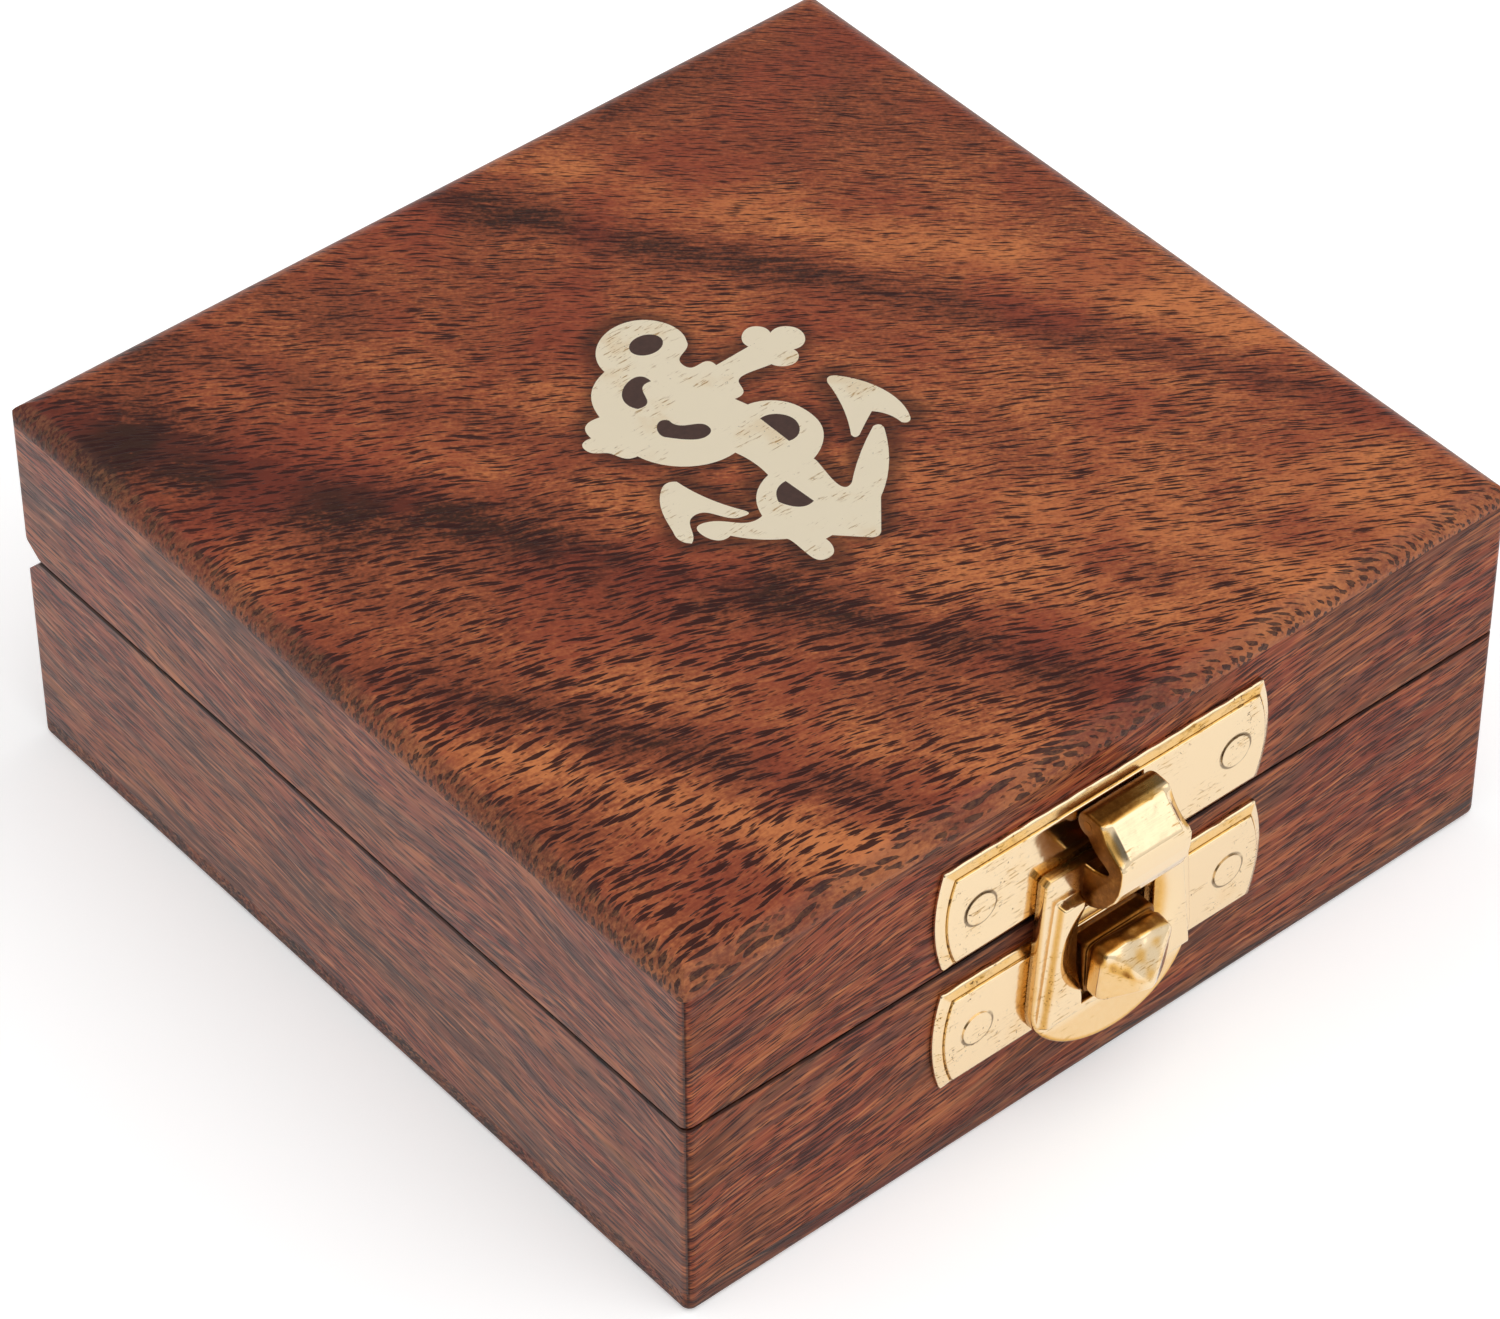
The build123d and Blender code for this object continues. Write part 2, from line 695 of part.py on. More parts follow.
def hinge_leaf(x, foot, outer, nail_face):
    """One leaf of a butt hinge: outer leaves carry the two end knuckles, the other the middle one.

    nail_face is the height of the leaf's face that the nail heads are sunk in.
    """
    end_knuckle = (leaf_width - middle_knuckle) / 2 - knuckle_gap
    end_offset = (leaf_width - end_knuckle) / 2
    relief = barrel_radius + barrel_clearance
    with BuildPart() as leaf:
        with BuildSketch(Plane.XY.offset(foot)):
            with Locations((x, axis_y - leaf_reach)):
                Rectangle(leaf_width, leaf_reach, align=(Align.CENTER, Align.MIN))
            if outer:
                with Locations((x, axis_y - relief)):
                    Rectangle(
                        middle_knuckle + 2 * knuckle_gap, relief,
                        align=(Align.CENTER, Align.MIN), mode=Mode.SUBTRACT,
                    )
            else:
                with Locations((x - end_offset, axis_y - relief), (x + end_offset, axis_y - relief)):
                    Rectangle(
                        end_knuckle + 2 * knuckle_gap, relief,
                        align=(Align.CENTER, Align.MIN), mode=Mode.SUBTRACT,
                    )
        extrude(amount=leaf_thickness)
        with BuildSketch(back_profile_plane(x)):
            Circle(hinge_pin_radius + running_clearance)
        extrude(amount=leaf_width, both=True, mode=Mode.SUBTRACT)
        if outer:
            add(knuckle(x - end_offset, end_knuckle, hinge_pin_radius + held_clearance))
            add(knuckle(x + end_offset, end_knuckle, hinge_pin_radius + held_clearance))
        else:
            add(knuckle(x, middle_knuckle, hinge_pin_radius + running_clearance))
        with BuildSketch(Plane.XY.offset(nail_face)):
            with Locations((x, axis_y - hinge_nail_setback)):
                with GridLocations(hinge_nail_spacing, 0, 2, 1):
                    Circle(hinge_nail_head_radius + held_clearance)
        extrude(amount=hinge_nail_head, both=True, mode=Mode.SUBTRACT)
        with BuildSketch(Plane.XY.offset(foot)):
            with Locations((x, axis_y - hinge_nail_setback)):
                with GridLocations(hinge_nail_spacing, 0, 2, 1):
                    Circle(hinge_nail_radius + held_clearance)
        extrude(amount=leaf_thickness, mode=Mode.SUBTRACT)
    return leaf.part


def hinge_pin(x):
    """Pin through the three knuckles of a hinge."""
    with BuildPart() as pin:
        with BuildSketch(back_profile_plane(x)):
            Circle(hinge_pin_radius)
        extrude(amount=leaf_width / 2, both=True)
    return pin.part


def hinge_nails(face, direction):
    """The four nails of one pair of leaves; direction is the way that they are driven."""
    with BuildPart() as nails:
        for side in (-1, 1):
            centre = (side * hinge_x, axis_y - hinge_nail_setback)
            with BuildSketch(Plane.XY.offset(face)):
                with Locations(centre):
                    with GridLocations(hinge_nail_spacing, 0, 2, 1):
                        Circle(hinge_nail_head_radius)
            extrude(amount=direction * hinge_nail_head)
            with BuildSketch(Plane.XY.offset(face)):
                with Locations(centre):
                    with GridLocations(hinge_nail_spacing, 0, 2, 1):
                        Circle(hinge_nail_radius)
            extrude(amount=direction * (leaf_thickness + hinge_nail_length))
    return nails.part


# Every piece under the name that it is written with
pieces = {
    "base_bottom_board": base_bottom_board.part,
    "base_front_wall": base_walls[FRONT],
    "base_right_wall": base_walls[RIGHT],
    "base_back_wall": base_walls[BACK],
    "base_left_wall": base_walls[LEFT],
    "base_felt_lining": base_felt_lining.part,
    "lid_top_board": lid_top_board.part,
    "lid_front_wall": lid_walls[FRONT],
    "lid_right_wall": lid_walls[RIGHT],
    "lid_back_wall": lid_walls[BACK],
    "lid_left_wall": lid_walls[LEFT],
    "lid_felt_lining": lid_felt_lining.part,
    "anchor_body": anchor_body.part,
    "anchor_left_fluke": anchor_left_fluke.part,
    "anchor_right_fluke": anchor_right_fluke.part,
    "inlay_filler": inlay_filler.part,
    "latch_lower_plate": latch_lower_plate.part,
    "latch_lower_nails": latch_nails(lower_plate_z),
    "latch_knob": latch_knob.part,
    "latch_upper_plate": latch_upper_plate.part,
    "latch_upper_nails": latch_nails(upper_plate_z),
    "latch_pin": latch_pin.part,
    "latch_hasp": latch_hasp.part,
    "hinge_left_base_leaf": hinge_leaf(-hinge_x, base_leaf_foot, True, base_height),
    "hinge_right_base_leaf": hinge_leaf(hinge_x, base_leaf_foot, True, base_height),
    "hinge_left_lid_leaf": hinge_leaf(-hinge_x, lid_foot, False, lid_foot),
    "hinge_right_lid_leaf": hinge_leaf(hinge_x, lid_foot, False, lid_foot),
    "hinge_left_pin": hinge_pin(-hinge_x),
    "hinge_right_pin": hinge_pin(hinge_x),
    "hinge_base_nails": hinge_nails(base_height, -1),
    "hinge_lid_nails": hinge_nails(lid_foot, 1),
}

os.makedirs("parts", exist_ok=True)
for name, part in pieces.items():
    part.label = name
    export_step(part, f"parts/{name}.step")
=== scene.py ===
"""Looks of a rosewood box with a brass anchor let into its lid and a brass latch.

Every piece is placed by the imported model, in metres: X along the front to the right, Y towards
the back, Z up, with the origin in the middle of the bottom face. Patterns are worked out in
millimetres on each piece's own coordinates.
"""

import math

import bmesh
import bpy
import numpy as np
from bpy.props import FloatProperty, FloatVectorProperty, PointerProperty
from mathutils import Matrix, Vector


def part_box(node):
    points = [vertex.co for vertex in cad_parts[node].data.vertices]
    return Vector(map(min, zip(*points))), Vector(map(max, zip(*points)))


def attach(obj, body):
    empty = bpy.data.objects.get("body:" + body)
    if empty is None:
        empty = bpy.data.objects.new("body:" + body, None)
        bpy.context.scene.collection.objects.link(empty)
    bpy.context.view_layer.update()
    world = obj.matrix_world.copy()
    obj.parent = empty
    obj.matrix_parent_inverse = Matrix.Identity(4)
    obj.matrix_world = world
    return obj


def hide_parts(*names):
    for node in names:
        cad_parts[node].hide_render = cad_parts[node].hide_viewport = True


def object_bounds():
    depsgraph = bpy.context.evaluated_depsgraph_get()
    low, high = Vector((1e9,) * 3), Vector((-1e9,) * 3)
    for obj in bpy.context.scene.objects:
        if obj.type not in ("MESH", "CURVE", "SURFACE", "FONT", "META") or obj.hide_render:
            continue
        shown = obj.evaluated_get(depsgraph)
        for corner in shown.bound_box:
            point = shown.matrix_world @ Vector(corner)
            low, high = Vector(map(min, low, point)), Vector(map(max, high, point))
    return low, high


bl_info = {
    "name": "Rosewood Box with Brass Latch",
    "version": (1, 0, 0),
    "blender": (4, 5, 0),
    "location": "View3D > Sidebar > Box",
    "description": "Finishes the wood, brass and felt of a small hinged box and lights it",
    "category": "Object",
}

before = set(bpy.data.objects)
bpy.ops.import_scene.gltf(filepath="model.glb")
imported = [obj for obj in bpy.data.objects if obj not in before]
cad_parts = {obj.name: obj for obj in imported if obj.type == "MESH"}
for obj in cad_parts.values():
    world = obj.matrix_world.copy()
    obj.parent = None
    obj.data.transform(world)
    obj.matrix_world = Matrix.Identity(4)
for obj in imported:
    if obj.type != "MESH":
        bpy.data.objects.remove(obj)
CAD_LOW, CAD_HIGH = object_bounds()

MM = 0.001
# Places on the box, in millimetres: half its side, the lid's top, the front face, the split
# line between base and lid, and the middle of the latch
HALF_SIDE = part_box("lid_top_board")[1].x / MM
LID_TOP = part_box("lid_top_board")[1].z / MM
FRONT_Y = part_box("lid_front_wall")[0].y / MM
SPLIT_Z = (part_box("base_front_wall")[1].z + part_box("lid_front_wall")[0].z) / 2 / MM
LATCH_X = (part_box("latch_hasp")[0].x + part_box("latch_hasp")[1].x) / 2 / MM

# Each wall's long axis, place in the log, climb of its grain, gloss and share of grey streaks
WALLS = {
    "front": ("x", 3.0, 0.10, 0.12, 0.6),
    "right": ("y", 41.0, 0.04, 0.2, 0.5),
    "back": ("x", 67.0, -0.05, 0.2, 0.5),
    "left": ("y", 17.0, 0.10, 0.40, 0.62),
}
# Where each part's walls and the bottom board start in the log, in mm
LOG_STARTS = {"base": 0.0, "lid": 120.0}
BOTTOM_BOARD_START = 301.0
# Dark bands cross the top board: the direction across them, and the lightness of the wood at
# places along it, in mm from the middle of the board, which one ramp over BAND_SPAN holds
ACROSS_BANDS = (0.859, 0.513)
BAND_SPAN = 132
BAND_SHADES = (
    (-66, 0.50), (-53, 0.50), (-47.5, 0.84), (-41.7, 0.20), (-38, 0.52), (-35, 0.68), (-29, 0.52),
    (-24, 0.34), (-19.4, 0.04), (-16, 0.45), (-11, 0.72), (-6, 0.50), (-1, 0.74), (5, 0.52),
    (11, 0.64), (16, 0.55), (20, 0.56), (24.5, 0.14), (27.5, 0.55), (32, 0.84), (38, 0.55),
    (46, 0.42), (66, 0.46),
)
# Middle of the darker wood at the back left of the top board, in mm
DARK_CORNER = (-47, 41, LID_TOP)
# Thick lines that follow the brass of the anchor on the lid: two ends and half a width, in mm
ANCHOR_LINES = (
    ((0.2, 17.2), (0.2, 17.2), 4.4), ((-8.0, 8.7), (-3.0, 3.7), 3.9),
    ((-3.0, 13.7), (-7.0, 10.7), 3.0), ((0.0, 14.0), (0.5, -15.0), 2.3),
    ((3.0, 9.0), (11.4, 9.1), 1.8), ((2.4, 1.0), (3.8, -1.6), 2.8),
    ((-10.8, -7.4), (-5.4, -11.0), 1.6), ((-3.5, -6.5), (-5.2, -16.0), 1.7),
    ((0.5, -15.2), (9.6, -6.8), 1.5), ((-9.8, -1.2), (-12.8, -6.2), 1.5),
    ((-9.6, -1.4), (-7.7, -7.0), 1.2), ((11.3, 1.2), (13.2, -6.2), 1.4),
    ((11.0, 0.0), (8.6, -5.2), 1.2),
)
HINGE_NODES = (
    *(f"hinge_left_{piece}" for piece in ("base_leaf", "lid_leaf", "pin")),
    *(f"hinge_right_{piece}" for piece in ("base_leaf", "lid_leaf", "pin")),
    "hinge_base_nails", "hinge_lid_nails",
)
ANCHOR_NODES = ("anchor_body", "anchor_left_fluke", "anchor_right_fluke")

# Latch, in millimetres: x from its middle, out of the front face, and z from the split line
PLATE_BOW = 1.0
PLATE_THICK = 1.1
PIN_OUT = 2.6
PIN_Z = 11.2
KNUCKLE_RADIUS = 1.4
KNOB_Z = -6.95
FLANGE_BACK = 1.3
FLANGE_FRONT = 2.4
FLANGE_TOP_Z = 6.5
FLANGE_WIDEST_Z = -10.0
FLANGE_BOTTOM_Z = -17.0
FLANGE_TOP_HALF = 8.8
FLANGE_HALF = 9.9
LIP_FLARE = 0.8
PANEL_RISE = 1.0
PANEL_TOP_Z = 3.1
PANEL_FOOT_Z = -12.1
PANEL_TOP_HALF = 7.55
PANEL_FOOT_HALF = 9.3
PANEL_SLOPE = 0.47
WINDOW_HALF = 4.7
WINDOW_FOOT_Z = -10.8
WINDOW_TOP_Z = 0.8
DISH_Z = -3.8
DISH_RADIUS = 7.8
DISH_DEPTH = 0.9
STRAP_HALF = 4.27
FACET_HALF = 3.15
LUG_RADIUS = 0.85
LUG_HALF = 1.5
# Nails: distance from the latch's middle, radius of the ring of painted shade round each head, and
# middle and half of the span of their heights above the table
NAIL_X = 15.6
NAIL_RING = 1.85
NAIL_MIDDLE_Z = SPLIT_Z - 0.675
NAIL_HALF_Z = 7.725

# Steps of the worked-out surfaces: along a plate's sides and its ends, round the knob and
# between its rings, round the flange and along its rays, round the strap, and over the felt
PLATE_SIDE_STEPS = 80
PLATE_END_STEPS = 40
KNOB_TURN_STEPS = 240
KNOB_RING_STEPS = 4
FLANGE_RAYS = 400
FLANGE_RAY_STEPS = 48
STRAP_STEPS = 420
FELT_STEPS = 121

# Felt: colours between and above its fibres, and the width of its rounded rim
FELT_SHADOW = (0.01, 0.002, 0.003)
FELT_SHEEN = (0.7, 0.3, 0.3)
FELT_RIM = 1.2 * MM

# Floor: half its side and its gap under the box, in metres, and how much it glows for the
# camera and in the metal
FLOOR_HALF = 6.0
FLOOR_GAP = 0.02 * MM
FLOOR_SEEN = 0.31
FLOOR_MIRRORED = 0.38
# Width of the camera's frame in millimetres, and width and tilt of the lamp in degrees
FRAME_WIDTH = 36
LAMP_WIDTH = 70
LAMP_TILT = (28, 12, 0)
# Parts of the room that are darker or brighter than the even light: direction of the middle,
# cosines at the edge and where the part is full, and its share of that light. Two dark ones lie
# behind the box and far to its left, and a bright one in front of it on the right.
ROOM_PARTS = (
    ((0.47, 0.56, 0.68), 0.86, 0.97, 0.12), ((-0.88, -0.36, 0.30), 0.80, 0.97, 0.22),
    ((0.47, -0.68, 0.56), 0.88, 0.97, 1.15),
)


def linear(red, green, blue):
    """Linear colour of one that is given in sRGB steps of 0 to 255."""
    steps = np.array([red, green, blue]) / 255
    return tuple(np.where(steps <= 0.04045, steps / 12.92, ((steps + 0.055) / 1.055) ** 2.4))


# Sizes and colours that a user would change


def colour_property(name, description, red, green, blue):
    """Colour property whose default is given in sRGB steps of 0 to 255."""
    return FloatVectorProperty(
        name=name, description=description, subtype="COLOR", size=3, min=0, max=1,
        default=linear(red, green, blue),
    )


def length_property(name, description, millimetres, **limits):
    """Length property whose default is given in millimetres."""
    return FloatProperty(
        name=name, description=description, default=millimetres * MM, unit="LENGTH", **limits
    )


def share_property(name, description, share):
    """Property from 0 to 1."""
    return FloatProperty(
        name=name, description=description, default=share, min=0, max=1, subtype="FACTOR"
    )


def angle_property(name, description, degrees):
    """Angle property whose default is given in degrees."""
    return FloatProperty(
        name=name, description=description, default=math.radians(degrees),
        subtype="ANGLE", unit="ROTATION",
    )


class BoxWood(bpy.types.PropertyGroup):
    """Colours and figure of the rosewood."""

    light: colour_property("Light wood", "Palest wood between the dark bands", 200, 121, 72)
    middle: colour_property("Middle wood", "Ground colour of the wood", 142, 74, 48)
    dark: colour_property("Dark wood", "Wood in the dark bands", 58, 34, 26)
    pore: colour_property("Pores", "Short dark pores along the grain", 52, 23, 20)
    rose: colour_property("Rose tint", "Reddish patches in the ground", 138, 58, 42)
    grey: colour_property("Grey streaks", "Smoky streaks along the walls", 66, 56, 54)
    # The joint colour paints shade in the gap between lid and base and along the foot, and the dark
    # lines of the mitre joints
    shade: colour_property("Joint", "Dirt in the joint between lid and base", 24, 13, 10)
    end_grain: colour_property("End grain", "Olive brown of the rounded edges", 146, 98, 64)
    filler_dark: colour_property("Dark filler", "Darkest grains of the filler", 48, 28, 22)
    filler_light: colour_property("Light filler", "Palest grains of the filler", 80, 52, 42)
    pore_length: length_property(
        "Pore length", "Length of a pore along the grain", 3.5, min=0.2 * MM, max=10 * MM
    )
    pore_width: length_property(
        "Pore width", "Width of a pore across the grain", 0.42, min=0.05 * MM, max=2 * MM
    )
    roughness: share_property("Roughness", "Roughness of the oiled wood", 0.42)


class BoxBrass(bpy.types.PropertyGroup):
    """Colours and polish of the brass."""

    latch: colour_property("Latch brass", "Polished cast brass", 234, 210, 172)
    inlay: colour_property("Inlay brass", "Pale ground brass of the anchor", 254, 240, 212)
    # The golden and tarnish colours paint the patina in the hollows, and also painted reflections
    # on the knob, the strap, the rims and the plates' borders, and painted shade in the slot and
    # under the strap
    golden: colour_property("Golden", "Golden edges of the recesses", 222, 174, 96)
    tarnish: colour_property("Tarnish", "Golden brown of the recesses", 140, 88, 30)
    # The dirt colour paints real dirt, and also painted shade round the nail heads and in the most
    # strongly marked places
    dirt_and_shade: colour_property("Dirt", "Dark dirt in the scratches and corners", 68, 43, 22)
    latch_roughness: share_property("Latch roughness", "Roughness of the polished latch", 0.13)
    inlay_roughness: share_property("Inlay roughness", "Roughness of the ground anchor", 0.50)


class BoxFelt(bpy.types.PropertyGroup):
    """Colour and surface of the felt lining."""

    colour: colour_property("Felt", "Colour of the felt", 92, 20, 26)
    nap: length_property("Nap", "Height of the uneven felt surface", 0.10, min=0, max=0.5 * MM)


class BoxStage(bpy.types.PropertyGroup):
    """Camera, floor and lights."""

    floor: colour_property("Floor", "Colour of the floor", 243, 243, 243)
    azimuth: angle_property("Azimuth", "Camera's turn round the box from the front", -39.94)
    elevation: angle_property("Elevation", "Camera's height above the horizon", 43.23)
    roll: angle_property("Roll", "Camera's tilt about its own axis", -0.28)
    distance: length_property(
        "Distance", "From the camera to the box's foot, along its axis", 605.6, min=0.1
    )
    aim_right: length_property(
        "Aim right", "How far right of the box's foot the camera looks", -0.42
    )
    aim_up: length_property("Aim up", "How far above the box's foot the camera looks", 10.91)
    lens: FloatProperty(
        name="Lens", description="Focal length in millimetres on a 36 mm frame",
        default=147.57, min=10, unit="CAMERA",
    )
    sky: FloatProperty(
        name="Sky", description="Strength of the even studio light",
        default=0.88, min=0,
    )
    lamp: FloatProperty(
        name="Lamp", description="Strength of the wide lamp overhead",
        default=0.65, min=0,
    )


# Materials


class Value:
    """One value in a node tree. Arithmetic on it adds Math nodes to the same tree."""

    def __init__(self, tree, socket):
        self.tree = tree
        self.socket = socket

    def math(self, operation, *values):
        """Math node of an operation on some values."""
        settings = {"operation": operation}
        return self.tree.node("ShaderNodeMath", settings, dict(enumerate(values)))

    def __add__(self, other):
        return self.math("ADD", self, other)

    __radd__ = __add__

    def __sub__(self, other):
        return self.math("SUBTRACT", self, other)

    def __rsub__(self, other):
        return self.math("SUBTRACT", other, self)

    def __mul__(self, other):
        return self.math("MULTIPLY", self, other)

    __rmul__ = __mul__

    def __truediv__(self, other):
        return self.math("DIVIDE", self, other)

    def __abs__(self):
        return self.math("ABSOLUTE", self)

    def least(self, other):
        """The smaller of two values."""
        return self.math("MINIMUM", self, other)

    def most(self, other):
        """The larger of two values."""
        return self.math("MAXIMUM", self, other)

    def rise(self, low, high):
        """Smooth step from 0 at low to 1 at high; it falls where low is above high."""
        if low > high:
            return 1 - self.rise(high, low)
        settings = {"interpolation_type": "SMOOTHSTEP"}
        inputs = {"Value": self, "From Min": low, "From Max": high}
        return self.tree.node("ShaderNodeMapRange", settings, inputs)


class Tree:
    """Node tree under construction, of a material or the world."""

    def __init__(self, owner):
        owner.use_nodes = True
        self.nodes = owner.node_tree.nodes
        self.links = owner.node_tree.links
        self.nodes.clear()

    def node(self, kind, settings=None, inputs=None, output=0):
        """Node of a kind: its settings, then its sockets' values or links. Gives one output."""
        node = self.nodes.new(kind)
        for name, setting in (settings or {}).items():
            if name == "stops":
                self.set_stops(node.color_ramp, setting)
            else:
                setattr(node, name, setting)
        for name, value in (inputs or {}).items():
            self.feed(node.inputs[name], value)
        return Value(self, node.outputs[output]) if node.outputs else None

    def set_stops(self, ramp, stops):
        """Puts stops, each a place and a grey, on a ramp."""
        while len(ramp.elements) < len(stops):
            ramp.elements.new(1.0)
        for element, (place, grey) in zip(ramp.elements, stops):
            element.position = place
            element.color = (grey, grey, grey, 1)

    def feed(self, socket, value):
        """Links a value to a socket, or sets it there."""
        if isinstance(value, Value):
            self.links.new(value.socket, socket)
        elif socket.type == "RGBA":
            socket.default_value = (*value, 1)
        else:
            socket.default_value = value

    def vector(self, operation, *values, **named):
        """Vector Math node of an operation on some vectors."""
        inputs = {**dict(enumerate(values)), **named}
        output = 1 if operation in ("DOT_PRODUCT", "LENGTH", "DISTANCE") else 0
        return self.node("ShaderNodeVectorMath", {"operation": operation}, inputs, output)


class Finish(Tree):
    """A material under construction: a Principled shader and what feeds it."""

    def __init__(self, name):
        self.material = bpy.data.materials.new(name)
        super().__init__(self.material)
        surface = self.node("ShaderNodeBsdfPrincipled")
        self.shader = surface.socket.node
        self.node("ShaderNodeOutputMaterial", {}, {"Surface": surface})
        place = self.node("ShaderNodeTexCoord", output="Object")
        self.place = self.vector("SCALE", place, Scale=1 / MM)
        self.x, self.y, self.z = (
            self.node("ShaderNodeSeparateXYZ", {}, {0: self.place}, output=axis) for axis in "XYZ"
        )

    def point(self, u, v, w):
        """Vector of three values."""
        return self.node("ShaderNodeCombineXYZ", {}, {0: u, 1: v, 2: w})

    def noise(self, point, size, detail=2.0, roughness=0.5):
        """Soft noise, about 0.5 on average, whose lumps have one size or one along each axis."""
        sizes = (size,) * 3 if isinstance(size, (int, float)) else size
        inputs = {
            "Vector": self.vector("DIVIDE", point, sizes), "Scale": 1.0, "Detail": detail,
            "Roughness": roughness,
        }
        return self.node("ShaderNodeTexNoise", {}, inputs)

    def lenses(self, point, size):
        """Distance to the nearest of many scattered, pointed spots, in spot spacings."""
        inputs = {"Vector": self.vector("DIVIDE", point, size), "Scale": 1.0, "Exponent": 1.2}
        return self.node("ShaderNodeTexVoronoi", {"distance": "MINKOWSKI"}, inputs)

    def beyond_line(self, point, start, end, reach):
        """Distance from a point to a thick line in the plane of x and y, 0 on its outside."""
        run = (end[0] - start[0], end[1] - start[1], 0)
        offset = self.vector("SUBTRACT", point, (*start, 0))
        length = max(run[0] ** 2 + run[1] ** 2, 0.01)
        share = (self.vector("DOT_PRODUCT", offset, run) / length).most(0).least(1)
        foot = self.vector("SCALE", run, Scale=share)
        return self.vector("DISTANCE", offset, foot) - reach

    def tinted(self, colour, *tints):
        """Colour with tints over it, each a mask from 0 to 1 and the colour where it is 1."""
        for mask, tint in tints:
            inputs = {0: mask, 6: colour, 7: tint}
            colour = self.node("ShaderNodeMix", {"data_type": "RGBA"}, inputs, output=2)
        return colour

    def ramp(self, value, stops):
        """Greys that follow stops over a value."""
        return self.node("ShaderNodeValToRGB", {"stops": stops}, {0: value})

    def relief(self, height, depth_mm, strength):
        """Normal of a surface with a height from 0 to 1 that is depth_mm deep."""
        inputs = {"Strength": strength, "Distance": depth_mm * MM, "Height": height}
        return self.node("ShaderNodeBump", {}, inputs)

    def set(self, **sockets):
        """Sets or links sockets of the Principled shader, named with _ for a space."""
        for name, value in sockets.items():
            self.feed(self.shader.inputs[name.replace("_", " ")], value)
        return self.material


def dress(node, material):
    """Gives a CAD node its material."""
    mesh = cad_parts[node].data
    mesh.materials.clear()
    mesh.materials.append(material)


def wall_finish(name, along, seed, slope, gloss, grey, wood):
    """Long grain of one wall, whose fibres climb by slope and start seed mm into the log."""
    finish = Finish(name)
    if along == "x":
        length, depth = finish.x, finish.y
    else:
        length, depth = finish.y, finish.x
    # The grain drifts a little, and every wall lies at its own place along and across the log
    drift = finish.noise(finish.point(length, finish.z, depth), (38, 20, 20), 1.0)
    across = finish.z - length * slope + (drift - 0.5) * 8 + seed
    place = finish.point(length + seed * 13, across, depth)

    bands = finish.noise(place, (34, 3.4, 5), 3.0, 0.6)
    streaks = finish.noise(place, (18, 0.8, 1.5), 3.0, 0.7)
    fibres = finish.noise(place, (5.5, 0.34, 0.6), 1.0, 0.6)
    drawn_out = finish.point(length + seed * 7, across * 1.1, depth)
    smoke = finish.noise(drawn_out, (26, 2.4, 5), 3.0, 0.6)
    clouds = finish.noise(place, (15, 8, 8), 2.0)

    # Short and long dark pores lie in groups along the fibres
    ragged = finish.noise(place, (1.0, 0.3, 0.4), 1.0) - 0.5
    crowd = (clouds - 0.5) * 0.5 - (bands - 0.5) * 0.3 - ragged * 0.25
    pores = (finish.lenses(place, (2.8, 0.34, 0.6)) - crowd).rise(0.46, 0.39)
    long_pores = (finish.lenses(place, (8.0, 0.55, 1.0)) - crowd * 0.6).rise(0.33, 0.25)

    shade = bands * 0.42 + streaks * 0.36 + fibres * 0.22
    colour = finish.tinted(
        wood.dark, (shade.rise(0.37, 0.49), wood.middle), (shade.rise(0.50, 0.64), wood.light),
        (clouds.rise(0.42, 0.62) * 0.65, wood.rose),
        (smoke.rise(0.47, 0.60) * grey * (streaks * 1.3 + 0.15), wood.grey),
        (clouds.rise(0.48, 0.34) * 0.4, wood.dark), ((fibres - 0.50).most(0) * 2.9, wood.dark),
        ((0.49 - fibres).most(0) * 3.0, wood.light), (pores * 0.80, wood.pore),
        (long_pores * 0.90, wood.pore),
    )
    # Painted shade in the gap between lid and base and along the foot, and the dark lines of the
    # mitre joints
    outside = abs(finish.x).most(abs(finish.y)).rise(HALF_SIDE - 0.8, HALF_SIDE - 0.3)
    joint = abs(finish.z - SPLIT_Z + (streaks - 0.5) * 0.5).rise(0.46, 0.18) * outside * 0.85
    mitre = abs(abs(finish.x) - abs(finish.y)).rise(0.40, 0.10) * 0.65
    foot = (finish.z + (streaks - 0.5) * 3).rise(4.0, 0.5) * 0.5
    colour = finish.tinted(colour, (joint.most(mitre).most(foot), wood.shade))
    relief = fibres * 0.5 + streaks * 0.2 - pores * 0.6
    return finish.set(
        Base_Color=colour, Roughness=wood.roughness + (fibres - 0.5) * 0.3,
        Normal=finish.relief(relief, 0.10, 0.9), Specular_IOR_Level=gloss,
    )


